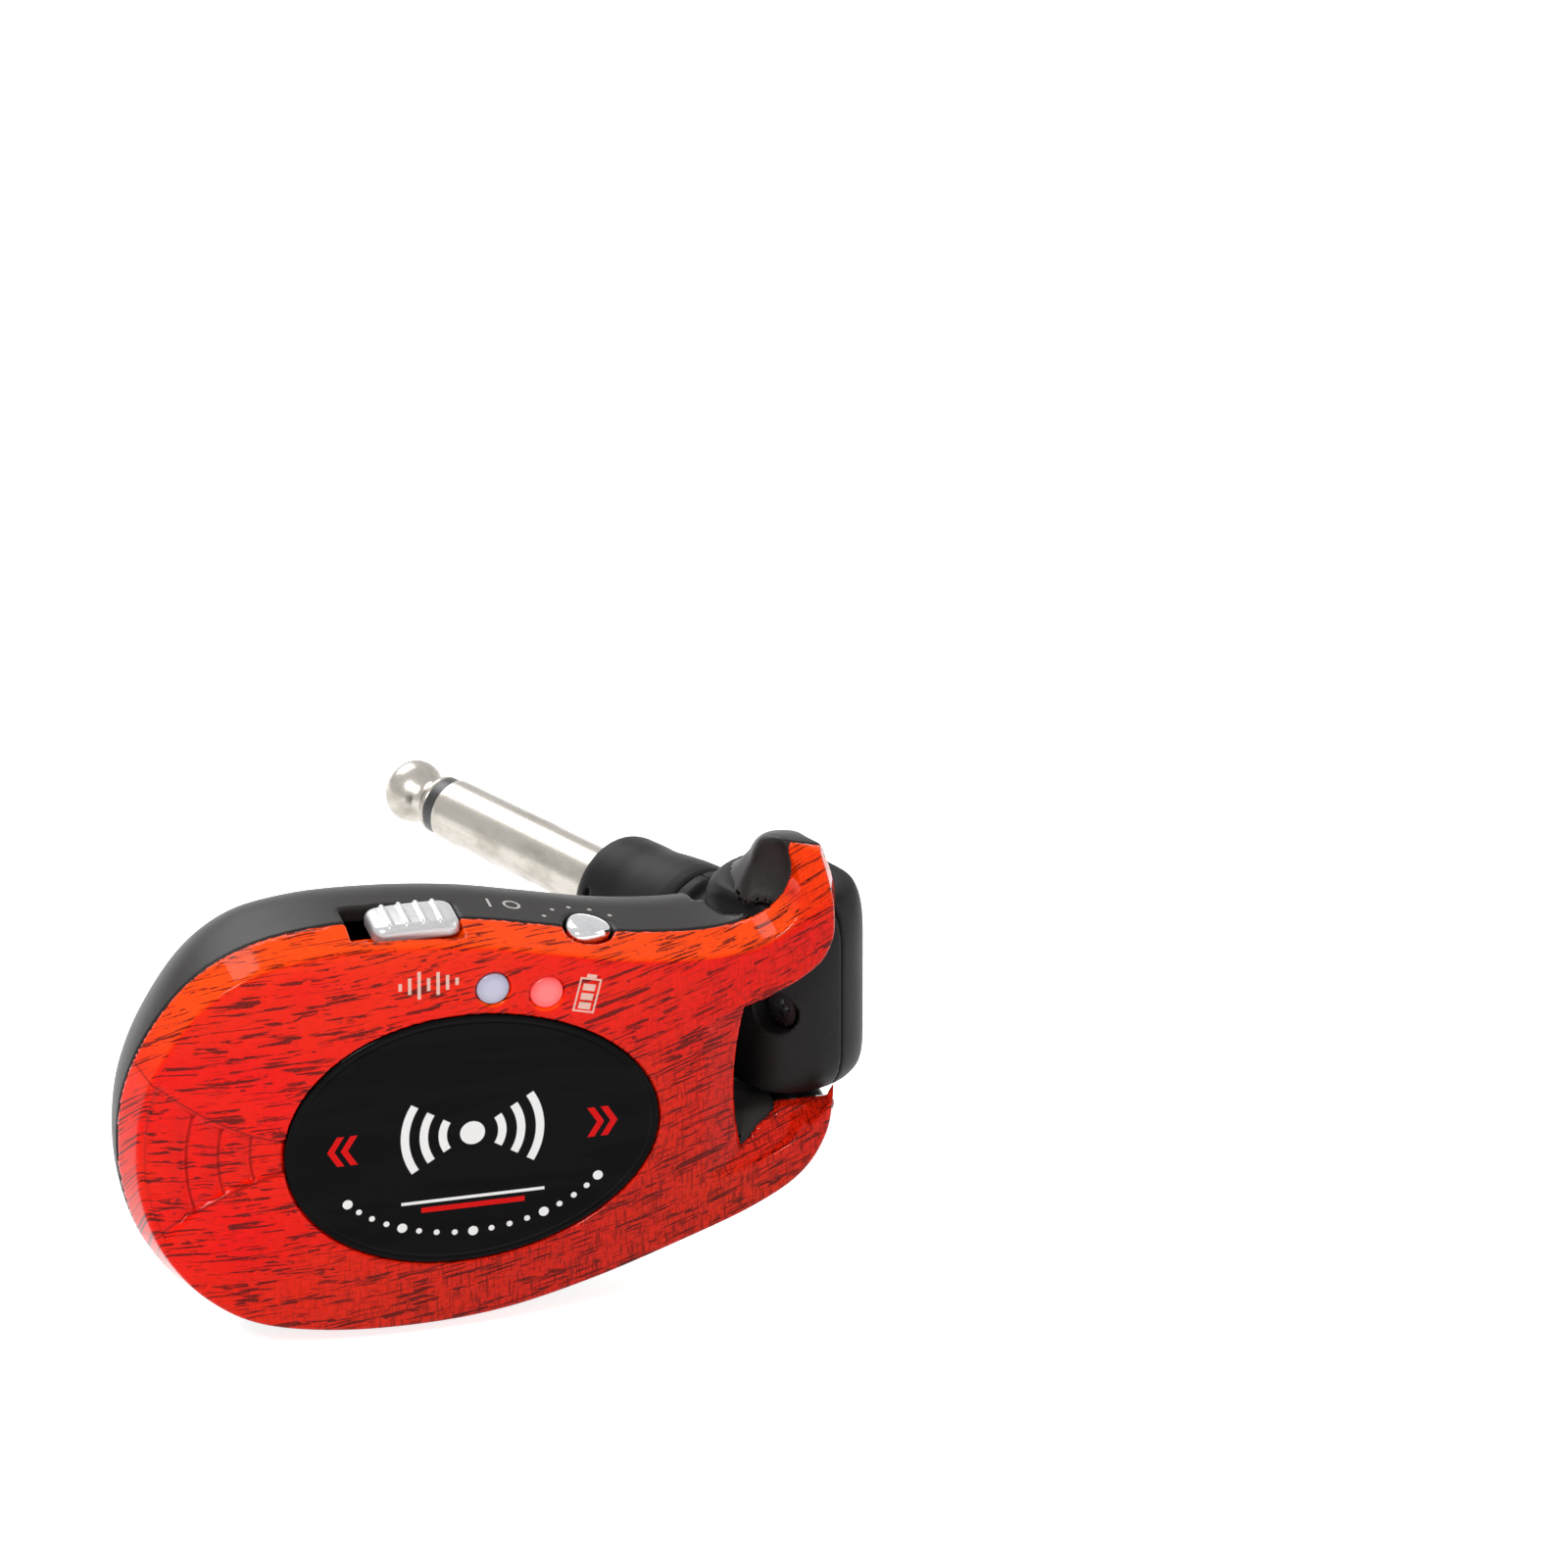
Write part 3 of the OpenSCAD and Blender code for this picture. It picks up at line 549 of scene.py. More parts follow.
def front_shell(x, y, z):
    """A plate inside the outline, its side slanted by the bevel and its hook leaning back. Taken
    away: the grip, a room behind the face, the badge's recess, the lenses' holes, the screws'
    bores, a small notch, the window, the pocket, the trough and the controls' openings."""
    bevel = (rim(x, z) + BEVEL * (1 - y / FRONT_DEPTH)) * 0.964
    hook = (0.55 * (z - 17.1 - 0.0457 * (x - 28) ** 2) - y) * 0.876
    form = both(both(bevel, hook, 0.25), fan(x, z) - y, 0.45)
    form = both(both(form, y - FRONT_DEPTH, 0.12), hook_cut(x, z), 0.12)
    room = both(both(rim(x, z) + WALL + BEVEL, x - 22.6, 0.5), WALL - y, 0.4)
    for sx, sz in SCREWS:
        room = both(room, 2.1 - np.hypot(x - sx, z - sz), 0.3)
    form = without(form, room)
    form = without(form, both(badge_rim(x, z), y - 0.7), 0.12)
    for lx, lz in LENSES.values():
        hole = np.hypot(x - lx, z - lz) - LENS_HOLE - 0.5 * np.maximum(0.4 - y, 0)
        form = without(form, hole, 0.1)
    for sx, sz in SCREWS:
        form = without(form, both(np.hypot(x - sx, z - sz) - 0.9, 2.2 - y))
    notch = np.hypot(np.maximum(np.abs(x - 21.2) - 0.8, 0), z) - 0.2
    form = without(form, both(notch, y - 0.15), 0.1)
    form = without(form, window(x, y, z), 0.3)
    skinned = either(form, both(liner(x, y, z), y - LINER_END))
    form = without(skinned, tongue(x, y, z))
    form = without(form, either(pocket(x, y, z), trough(x, y, z)), 0.2)
    return without(form, openings(x, y, z), 0.3)


# Prints and painted marks are masks: 1 on the ink or the mark. A bar has a middle and half sizes, a ring a radius.
def bar(u, w, middle, half, soft=0.04):
    """1 where both distances from the middle are under the half sizes."""
    within = (half[0] - (u - middle[0]).size()).least(half[1] - (w - middle[1]).size())
    return within.rise(-soft, soft)


def ring(u, w, middle, radius, half, soft=0.04):
    """1 where the distance from the middle is within half of the radius; a dot has radius 0."""
    away = (u - middle[0]) * (u - middle[0]) + (w - middle[1]) * (w - middle[1])
    return (half - (away.root() - radius).size()).rise(-soft, soft)


lacquer = Finish("red_wood_lacquer", Coat_Weight=1.0, Coat_Roughness=0.05, Coat_IOR=1.2,
                 Roughness=0.42)
lacquer.shader.inputs["Specular IOR Level"].default_value = 0.0
# The grain's lines fall at the round end, level out and climb towards the fork
run = lacquer.x + 33
bent = lacquer.at(lacquer.x, 0, lacquer.z + lacquer.y * 0.9 + run * 0.10 - run * run * 0.0042)
long_grain = lacquer.noise((0.15, 1, 2.6), 3, 0.62, 0.5, spot=bent).rise(0.525, 0.555)
gaps = lacquer.noise((0.30, 1, 0.8), 3, 0.6, 0.2, (7, 3, 1), spot=bent).rise(0.45, 0.50)
fine_grain = lacquer.noise((0.8, 1, 6.5), 3, 0.6, 0.4, (2, 1, 8), spot=bent).rise(0.53, 0.63)
cross_grain = lacquer.noise((4.2, 1, 0.55), 4, 0.6, 0.7, (3, 9, 5), spot=bent).rise(0.50, 0.60)
# right_low grows towards the lower right: it thickens the cross grain there, and below it darkens the ground as
# painted shade
right_low = (lacquer.x * 0.030 - lacquer.z * 0.045).rise(-0.5, 1.1)
fuzz = lacquer.noise((6, 6, 6), 2, 0.6).rise(0.32, 0.7)
dark = (long_grain * gaps).most(cross_grain * right_low * 0.75).most(
    fine_grain * (right_low * 0.5 + 0.22)) * (fuzz * 0.3 + 0.7)
cloud = lacquer.noise((0.05, 0.1, 0.08), 2, 0.5, 0.0, (1, 5, 2)).rise(0.3, 0.7)
ground = lacquer.mix(cloud, (0.80, 0.001, 0.0), (0.80, 0.014, 0.0))
# Painted shade: the ground turns darker and browner towards the lower right
ground = lacquer.mix(right_low * 0.6, ground, (0.50, 0.020, 0.006))
# Painted highlight: surfaces facing up in the upper half, and the hook above z 18, are lightened to bright orange
up = lacquer.facing("Z")
painted_top_highlight = (up.rise(0.15, 0.8) * lacquer.z.rise(-1, 5)).most(lacquer.z.rise(18, 24) * 0.65)
ground = lacquer.mix(painted_top_highlight, ground, (0.95, 0.060, 0.0))
painted = lacquer.mix(dark * 0.97, ground, (0.022, 0.002, 0.001))
# Painted shade: the grip's outline and its three steps are darkened, as if in shadow in their grooves
left = lacquer.x * -1 - 17.4
grip_top = left * 0.30 + left * left * 0.022 + 1.6 - lacquer.z
grip_low = left * 0.18 + left * left * 0.018 + 1.3 + lacquer.z
painted_groove_shade = (0.14 - grip_top.least(grip_low).size()).rise(-0.12, 0.12)
for radius in (11.3, 14.5, 17.7):
    painted_groove_shade = painted_groove_shade.most(ring(lacquer.x, lacquer.z, (-10, 0.8), radius, 0.14, 0.12)
                       * grip_top.least(grip_low).rise(0, 0.3))
painted = lacquer.mix(painted_groove_shade * left.rise(0, 0.2) * 0.55, painted, (0.075, 0.003, 0.002))
front = (lacquer.facing("Y") * -1).rise(0.9, 0.97)
waves = [bar(lacquer.x, lacquer.z, (-3.4 + 0.95 * (i - 3), 17.4), (0.17, h))
         for i, h in enumerate((0.4, 0.9, 1.5, 0.7, 1.25, 0.8, 0.4))]
icon_x = (lacquer.x - 12.5) * 0.97 - (lacquer.z - 14.2) * 0.24
icon_z = (lacquer.x - 12.5) * 0.24 + (lacquer.z - 14.2) * 0.97
cells = [bar(icon_x, icon_z, (0, z), (0.62, 0.36)) for z in (-1.15, -0.15, 0.85)]
case = bar(icon_x, icon_z, (0, 0), (1.1, 1.85)) - bar(icon_x, icon_z, (0, 0), (0.92, 1.67))
ink = case.most(bar(icon_x, icon_z, (0, 2.05), (0.5, 0.22)))
for mask in waves + cells:
    ink = ink.most(mask)
lacquer.feed(Base_Color=lacquer.mix(ink * front * 0.9, painted, (0.74, 0.50, 0.42)))
lacquer.bump(lacquer.noise((0.8, 0.8, 1.6), 2, 0.5) + dark * 0.2, 0.000014)

points, faces = cast(front_shell, (-34.6, -0.6, -21.9), (39.4, 4.9, 27.1), 0.27)
piece("front_shell_lacquered", points, faces, lacquer, "shell_red", "housing", "front_shell")


# ---- black back shell and its ear -----------------------------------------------------------
# A satin moulded shell with round back edges. Behind the hook it swells into a round ear that
# holds the upper hinge pin, and a soft saddle joins the ear to the waist.
def soft_step(value, low, high):
    """0 up to low, 1 from high on, and a cubic between."""
    share = np.clip((value - low) / (high - low), 0, 1)
    return share * share * (3 - 2 * share)


EAR_SWELL = 3.4


def ear_swell(x, y, z):
    """How far the ear stands out from the outline: most at the hinge, none at the parting line."""
    depth = soft_step(y, FRONT_DEPTH, 7.6) * np.sqrt(np.clip(1 - ((y - 9.0) / 6.0) ** 2, 0, 1)
                                                     ** np.where(y > 9, 1, 0))
    return (EAR_SWELL * depth * soft_step(x, 28, 31) * soft_step(-x, -38.4, -35)
            * soft_step(z, 16.8, 19.6))


def back_shell(x, y, z):
    """The outline carried back, then closed by an ellipse over depth and distance to the edge,
    longer at the round end. A second ellipse closes the ear. Taken away: the room inside, the
    pocket, the trough, bores for screws and pin, the socket's port and the controls' openings."""
    edge = rim(x, z) - ear_swell(x, y, z)
    round_end = soft_step(-x, 18, 33)
    flat, radius = 9.5 - 5.1 * round_end, 8.5 + 3.5 * round_end
    form = (np.hypot(np.maximum(y - flat, 0) / (DEPTH - flat),
                     np.maximum(edge + radius, 0) / radius) - 1) * radius
    deep = 9.8 + 7 * soft_step(-z, -21.5, -18.5)
    dome = (np.hypot(np.maximum(hook_cut(x, z) / 7 + 1, 0),
                     np.maximum(y - FRONT_DEPTH, 0) / deep) - 1) * 7
    dome = np.where(x > 26, dome, -5.0)
    form = both(form, dome, 5.0 * soft_step(y, FRONT_DEPTH, FRONT_DEPTH + 3.5))
    inner = both(both(edge + WALL, x - 22.6, 0.5), both(y - 15.8, 3.9 - y), 0.5)
    inner = both(inner, (np.hypot(np.maximum(y - 7.5, 0) / 9.9,
                                  np.maximum(edge + 11, 0) / 9.4) - 1) * 9.4, 0.5)
    inner = without(inner, trough(x, y, z) - WALL)
    for sx, sz in SCREWS:
        inner = without(inner, np.hypot(x - sx, z - sz) - 2.8, 0.4)
    form = without(form, inner)
    form = without(form, either(pocket(x, y, z), trough(x, y, z)), 0.35)
    for sx, sz in SCREWS:
        away = np.hypot(x - sx, z - sz)
        form = without(form, either(away - 1.05, both(away - 1.85, 13 - y)), 0.15)
    pin = both(np.hypot(x - HINGE[0], y - HINGE[1]) - 1.25, np.abs(z - HINGE[2]) - 12.2)
    form = without(form, pin)
    sx, sz = SOCKET
    port = slab_box(x, y, z, (sx - 4.15, 6.0, sz - 3), (sx + 4.15, 9.3, sz + 5), 0.6)
    form = without(form, port, 0.4)
    form = without(form, openings(x, y, z), 0.3)
    form = without(form, both(window(x, y, z), y - HINGE[1]), 0.2)
    form = both(without(form, liner(x, y, z)), FRONT_DEPTH - y, 0.12)
    lift, low = floor_rise(x, y)
    return either(form, both(tongue(x, y, z), z - low - lift + 0.05))


bottom_half = outline[(outline[:, 1] < 0) & (np.abs(outline[:, 0]) < 30)]
bottom_half = bottom_half[np.argsort(bottom_half[:, 0])]
SOCKET = (-4.0, float(np.interp(-4.0, bottom_half[:, 0], bottom_half[:, 1])))

satin = Finish("black_satin_plastic", Roughness=0.42)
satin.shader.inputs["Specular IOR Level"].default_value = 0.16
speck = satin.noise((7, 7, 7), 3, 0.6)
flow = satin.noise((0.12, 0.3, 0.3), 2, 0.5)
top_side = satin.facing("Z").rise(0.5, 0.75)
marks = bar(satin.x, satin.y, (4.6, 8.0), (0.13, 0.9))
marks = marks.most(ring(satin.x, satin.y, (6.9, 8.0), 0.75, 0.13))
for i in range(-2, 3):
    angle = math.radians(28 * i - 12)
    marks = marks.most(ring(satin.x, satin.y, (13.7 + 4.3 * math.sin(angle),
                                               4.5 + 4.3 * math.cos(angle)), 0, 0.22))
plastic = satin.mix(speck.rise(0.3, 0.7) * 0.7 + flow * 0.3, (0.009, 0.008, 0.008),
                    (0.021, 0.018, 0.017))
satin.feed(Base_Color=satin.mix(marks * top_side * 0.8, plastic, (0.55, 0.53, 0.50)),
           Roughness=speck * 0.10 + flow * 0.08 + 0.33)
satin.bump(speck, 0.000010)

points, faces = cast(back_shell, (-34.6, 1.2, -21.9), (40.0, 19.6, 27.1), 0.37)
piece("back_shell_satin", points, faces, satin, "shell_black", "housing", "back_shell",
      "hook_cover")


# ---- badge ----------------------------------------------------------------------------------
# An egg-shaped glossy black plate, pressed into the front shell's recess. Its edge is rounded
# and a shallow groove runs inside it. The print is generic: radio waves, chevrons and ticks.
def skin(rings):
    """Quads between equal closed rings of points, and at each end a fan of triangles round the
    end ring's middle."""
    rings = np.array(rings)
    rows, count = rings.shape[:2]
    number = np.arange(rows * count).reshape(rows, count)
    beside = np.roll(number, -1, axis=1)
    quads = np.stack([number[:-1], beside[:-1], beside[1:], number[1:]], -1).reshape(-1, 4)
    first, last = np.full(count, rows * count), np.full(count, rows * count + 1)
    fans = np.concatenate([np.stack([first, beside[0], number[0]], 1),
                           np.stack([number[-1], beside[-1], last], 1)])
    middles = rings[[0, -1]].mean(axis=1)
    return np.concatenate([rings.reshape(-1, 3), middles]), quads.tolist() + fans.tolist()


def egg(inset, depth):
    """The badge's outline drawn in by inset, at a depth behind the front face."""
    line = badge_line(37.7 - 2 * inset, 26.8 - 2 * inset, 160)
    return np.stack([line[:, 0], np.full(len(line), depth), line[:, 1]], 1)


# Inset and depth, from the back over the rounded edge and the groove to the middle
plate_profile = [(8, 0.7), (1, 0.7), (0.02, 0.7), (0, 0.66), (0, 0.3), (0.03, 0.2), (0.1, 0.11),
                 (0.22, 0.05), (0.40, 0.03), (0.55, 0.035), (0.62, 0.08), (0.70, 0.10),
                 (0.78, 0.08), (0.85, 0.03), (1.0, 0.01)]
plate_profile += [(i, 0.01 - 0.012 * min(1, (i - 1) / 8)) for i in range(2, 13)]
points, faces = skin([egg(*at) for at in plate_profile])

gloss = Finish("glossy_black_plate", Roughness=0.30, Coat_Weight=1.0, Coat_Roughness=0.03,
               Coat_IOR=1.14)
gloss.shader.inputs["Specular IOR Level"].default_value = 0.0
bx, bz = gloss.x, gloss.z
# Painted reflection: faint grey wavy bands lighten the plate's colour; the same bands also vary its gloss
wave = gloss.noise((0.07, 0.1, 0.30), 2, 0.45, 1.2, (4, 0, 2)).rise(0.42, 0.60)
dust = gloss.noise((9, 9, 9), 2, 0.6).rise(0.62, 0.8)
plate = gloss.mix(wave * 0.5 + dust * 0.12, (0.0002, 0.0002, 0.0003), (0.0030, 0.0030, 0.0034))
white = ring(bx, bz, (0.9, 0.6), 0, 1.25)
for radius in (3.0, 4.9, 6.8):
    arc = ring(bx, bz, (0.9, 0.6), radius, 0.42)
    white = white.most(arc * ((bx - 0.9).size() * 0.62 - (bz - 0.6).size()).rise(-0.05, 0.05))
white = white.most(bar(bx, bz, (0.9, -6.4), (7.2, 0.16)))
for i in range(-8, 9):
    angle = math.radians(270 + 7.0 * i)
    spot = (0.9 + 15.2 * math.cos(angle), 10.2 * math.sin(angle))
    white = white.most(ring(bx, bz, spot, 0, 0.30 if i % 4 else 0.5))
red = bar(bx, bz, (0.9, -7.3), (5.2, 0.28))
for side in (-1, 1):
    for i in (0, 1):
        lean = (bx * side - (12.9 + 1.35 * i) - side * BADGE_OFFSET) + (bz - 0.2).size() * 0.62
        red = red.most((0.36 - lean.size()).least(1.6 - (bz - 0.2).size()).rise(-0.04, 0.04))
printed = gloss.mix(white, plate, (0.80, 0.80, 0.79))
gloss.feed(Base_Color=gloss.mix(red, printed, (0.62, 0.004, 0.004)),
           Roughness=wave * 0.1 + 0.25)
gloss.bump(gloss.noise((0.5, 0.5, 0.9), 2, 0.5), 0.000006)
piece("badge_plate_glossy", points, faces, gloss, "badge_black", "housing", "badge_plate")


# ---- light lenses ---------------------------------------------------------------------------
# Two frosted round lenses, pressed into the front shell over the light chips. The left one is
# unlit and lavender, and the right one glows pink.
def cast_lens(name, finish, slot):
    """A round lens from a profile of radius and depth, carried round its middle."""
    lx, lz = LENSES[name]
    turn = np.linspace(0, 2 * math.pi, 48, endpoint=False)
    profile = [(1.63, 2.36), (1.65, 2.3), (1.65, 0.32), (1.62, 0.2), (1.52, 0.11), (1.35, 0.06),
               (1.0, 0.025), (0.5, 0.01)]
    rings = [np.stack([lx + r * np.cos(turn), np.full(48, d), lz + r * np.sin(turn)], 1)
             for r, d in profile]
    points, faces = skin(rings)
    piece(name + "_frosted", points, faces, finish, slot, "housing", name)


for name, slot, edge, middle, glow in (
        ("audio_light_lens", "lens_audio", (0.36, 0.36, 0.47), (0.47, 0.46, 0.58), 0.0),
        ("battery_light_lens", "lens_battery", (0.80, 0.06, 0.06), (0.92, 0.12, 0.12), 0.34)):
    frost = Finish(name + "_frost", Roughness=0.35, Coat_Weight=0.6, Coat_Roughness=0.1,
                   Coat_IOR=1.3)
    lx, lz = LENSES[name]
    away = ((frost.x - lx) * (frost.x - lx) + (frost.z - lz) * (frost.z - lz)).root()
    body = frost.mix(away.rise(0.6, 1.6), middle, edge)
    grain = frost.noise((5, 5, 5), 3, 0.6)
    body = frost.mix(grain.rise(0.45, 0.75) * 0.25, body, tuple(c * 0.82 for c in middle))
    frost.feed(Base_Color=body, Emission_Color=body)
    frost.shader.inputs["Emission Strength"].default_value = glow
    frost.bump(grain, 0.000008)
    cast_lens(name, frost, slot)


# ---- power slider ---------------------------------------------------------------------------
# A satin silver cap with round ends and four fine ribs for the thumb. Its stem reaches down
# through the slot to the switch.
def slider(x, y, z):
    """A box with rounded corners under a crowned top, four ribs across it, and the stem."""
    u, v, w = x - SLIDER_AT[0], y - SLIDER_AT[1], z - SLIDER_AT[2]
    plan = slab_box(u, v, 0 * w, (-4.4, -2.7, -9), (4.4, 2.7, 9), 1.3)
    top = w - 0.62 + 0.011 * u * u + 0.02 * v * v
    cap = both(both(plan, top, 0.9), -1.2 - w, 0.3)
    for i in range(4):
        line = np.hypot(u - 1.7 * (i - 1.5), w - 0.50 + 0.011 * u * u) - 0.26
        cap = either(cap, both(line, np.abs(v) - 2.35, 0.3), 0.12)
    return either(cap, slab_box(u, v, w, (0.3, -0.5, -4.5), (1.3, 0.5, -0.8), 0.1))


silver = Finish("slider_silver_paint", Metallic=0.55, Coat_Weight=0.35, Coat_Roughness=0.2)
flake = silver.noise((14, 14, 14), 2, 0.6)
wear = silver.noise((0.8, 0.8, 0.8), 3, 0.6)
silver.feed(Base_Color=silver.mix(flake.rise(0.35, 0.7), (0.42, 0.42, 0.43), (0.60, 0.60, 0.60)),
            Roughness=wear * 0.14 + flake * 0.08 + 0.20)
silver.bump(flake, 0.000005)
sx, sy, sz = SLIDER_AT
points, faces = cast(slider, (sx - 4.9, sy - 3.2, sz - 5.0), (sx + 4.9, sy + 3.2, sz + 1.4), 0.13)
piece("power_slider_cap", points, faces, silver, "slider_silver", "power_slider", "power_slider")


# ---- channel button -------------------------------------------------------------------------
# A small chrome-plated drop with a domed top. It sits in a round hole and presses the switch.
def button(x, y, z):
    """The drop outline under a sphere's cap, and a round foot."""
    u, v, up = in_button(x, y, z)
    dome = np.sqrt((u * u + v * v) + (up + 5.1) ** 2) - 5.9
    cap = both(both(drop(u, v, 2.2), dome, 0.5), -1.8 - up, 0.2)
    return either(cap, both(np.hypot(u, v) - 0.8, np.abs(up + 2.1) - 0.8, 0.1))


chrome = Finish("button_chrome", Metallic=1.0)
haze = chrome.noise((2.2, 2.2, 2.2), 3, 0.6)
chrome.feed(Base_Color=chrome.mix(haze, (0.50, 0.51, 0.53), (0.72, 0.72, 0.72)),
            Roughness=haze * 0.10 + 0.05)
chrome.bump(haze, 0.000006)
cx, cy, cz = BUTTON_AT
points, faces = cast(button, (cx - 3, cy - 3, cz - 4), (cx + 3, cy + 3, cz + 1.8), 0.11)
piece("channel_button_drop", points, faces, chrome, "button_chrome", "channel_button",
      "channel_button")


# ---- swivel block ---------------------------------------------------------------------------
# Two moulded halves that meet in a fine seam along the plug, held by one screw. The block's
# ends are round in plan, with deep soft shoulders, and a short neck carries the collar.
ALONG = np.array(frame["record"]["mounts"][0]["axis"], float)
ACROSS = np.array([ALONG[1], -ALONG[0], 0])
SCREW_LEVEL = -1.0


def arm_place(finish):
    """A finish's place in the arm's frame: across the plug, along it and up, from the hinge."""
    away = finish.node("ShaderNodeVectorMath", {"operation": "SUBTRACT"},
                       {0: finish.spot, 1: tuple(HINGE)})
    across, along = (finish.node("ShaderNodeVectorMath", {"operation": "DOT_PRODUCT"},
                                 {0: away, 1: tuple(axis)}, out=1) for axis in (ACROSS, ALONG))
    return finish.at(across, along, finish.z - float(HINGE[2]))


def arm_to_body(points):
    """From the arm's frame (across, along, up from the hinge) to the badge's frame."""
    return points @ np.array([ACROSS, ALONG, [0, 0, 1]]) + HINGE


def block(u, v, w):
    """A slab whose ends are round in plan, its shoulders cut by an ellipse, and a round neck.
    Taken away: the hollow for the wires, the pins' bores and the screw's recess and bore."""
    plan = np.hypot(u, np.maximum(np.abs(v) - BLOCK_REACH + 6, 0)) - 6
    form = both(both(plan, shoulder(np.hypot(u, v), w), 0.8), np.abs(w) - BLOCK_HALF, 0.9)
    step = np.clip((v - 10) / 0.8, 0, 1)
    neck = both(np.hypot(u, w) - 5.5 - 0.75 * step * step * (3 - 2 * step), np.abs(v - 6) - 6, 0.25)
    form = either(form, neck, 0.7)
    room = either(both(np.hypot(u, v) - 3.2, np.abs(w) - 7), both(np.hypot(u, w) - 3.2, -v))
    form = without(form, room)
    form = without(form, both(np.hypot(u, v) - 1.3, 6.65 - np.abs(w)))
    away = np.hypot(v + BLOCK_REACH - 4.35, w - SCREW_LEVEL)
    form = without(form, both(away - 2.35, 3 + u), 0.35)
    return without(form, both(away - 1.05, np.abs(u) - 5))


moulded = Finish("black_moulded_block", Roughness=0.5)
moulded.shader.inputs["Specular IOR Level"].default_value = 0.12
texture = moulded.noise((6.5, 6.5, 6.5), 4, 0.65)
patch = moulded.noise((0.25, 0.25, 0.25), 2, 0.5)
moulded.feed(Base_Color=moulded.mix(texture.rise(0.3, 0.7) * 0.6 + patch * 0.4,
                                    (0.005, 0.0045, 0.0045), (0.014, 0.0125, 0.0125)),
             Roughness=texture * 0.14 + patch * 0.10 + 0.36)
moulded.bump(texture, 0.000018)
for side, name in ((-1, "block_left"), (1, "block_right")):
    points, faces = cast(lambda u, v, w: both(block(u, v, w), 0.015 - side * u, 0.22),
                         (-6.5 if side < 0 else -0.4, -9.2, -11.2),
                         (0.4 if side < 0 else 6.5, 12.6, 11.2), 0.27)
    piece(name + "_moulded", arm_to_body(points), faces, moulded, "block_black", "plug_arm", name)


# ---- collar ---------------------------------------------------------------------------------
# The plug's grip: a moulded sleeve that is widest at the block and narrows in a soft curve to a
# rounded rim. A small slot near the rim releases it.
COLLAR_END = 24.8


def collar(u, v, w):
    """A radius that follows a profile along the plug, bored for the wires and the sleeve."""
    outer = np.interp(v, [12, 12.5, 13.4, 15, 17, 18.6, 19.6, 21, 23, 24.8],
                      [6.25, 6.4, 6.5, 6.42, 6.2, 5.98, 5.92, 5.95, 5.9, 5.7])
    form = both(both(np.hypot(u, w) - outer, 12.04 - v, 0.3), v - COLLAR_END, 1.6)
    form = without(form, both(np.hypot(u, w) - 4.2, v - COLLAR_END + 2))
    form = without(form, np.hypot(u, w) - 2.9, 0.2)
    slot = slab_box(u, v, w, (-7, COLLAR_END - 2.5, 0.4), (-5.0, COLLAR_END - 1.9, 2.5), 0.29)
    return without(form, slot, 0.15)


points, faces = cast(collar, (-7, 11.6, -7), (7, 25.2, 7), 0.25)
piece("plug_collar_moulded", arm_to_body(points), faces, moulded, "block_black", "plug_arm",
      "plug_collar")


# ---- plug -----------------------------------------------------------------------------------
# A quarter-inch plug, turned from brass and plated with nickel: a long sleeve, a thin black
# insulating ring and a ball with a blunt cone. Fine turning marks run round it.
def turned(profile, count=96):
    """Rings round the plug's axis, from pairs of a place along it and a radius."""
    turn = np.linspace(0, 2 * math.pi, count, endpoint=False)
    return np.array([np.stack([r * np.cos(turn), np.full(count, v), -r * np.sin(turn)], 1)
                     for v, r in profile])


nickel = Finish("nickel_plate", Metallic=1.0)
place = arm_place(nickel)
lathe = nickel.noise((0.5, 16, 0.5), 3, 0.6, spot=place)
drawn = nickel.noise((5, 0.10, 5), 3, 0.6, spot=place)
tarnish = nickel.noise((0.5, 0.25, 0.5), 3, 0.6, spot=place).rise(0.4, 0.75)
nickel.feed(Base_Color=nickel.mix(tarnish * 0.5 + drawn * 0.4,
                                  (0.50, 0.475, 0.43), (0.27, 0.245, 0.21)),
            Roughness=drawn * 0.12 + tarnish * 0.08 + 0.20)
nickel.bump(lathe * 0.6 + drawn * 0.6, 0.000004)

RING_FROM, RING_TO, POINT = 48.2, 49.5, 58.0
PLUG_RADIUS, SEAT_RADIUS, BORE_RADIUS = 3.175, 2.875, 2.425
sleeve = [(17.8, SEAT_RADIUS), (COLLAR_END - 0.02, SEAT_RADIUS), (COLLAR_END, PLUG_RADIUS),
          (25.3, PLUG_RADIUS), (30, PLUG_RADIUS), (36, PLUG_RADIUS), (42, PLUG_RADIUS),
          (47.6, PLUG_RADIUS), (RING_FROM - 0.25, 3.16), (RING_FROM - 0.08, 3.11),
          (RING_FROM, 3.0), (RING_FROM, 2.45), (47.5, BORE_RADIUS), (36, BORE_RADIUS),
          (17.8, BORE_RADIUS)]
rings = turned(sleeve)
number = np.arange(rings.shape[0] * rings.shape[1]).reshape(rings.shape[:2])
below, beside = np.roll(number, -1, 0), np.roll(number, -1, 1)
quads = np.stack([number, beside, np.roll(below, -1, 1), below], -1).reshape(-1, 4)
piece("plug_sleeve_plated", arm_to_body(rings.reshape(-1, 3)), quads, nickel, "plug_nickel",
      "plug_arm", "plug_sleeve")

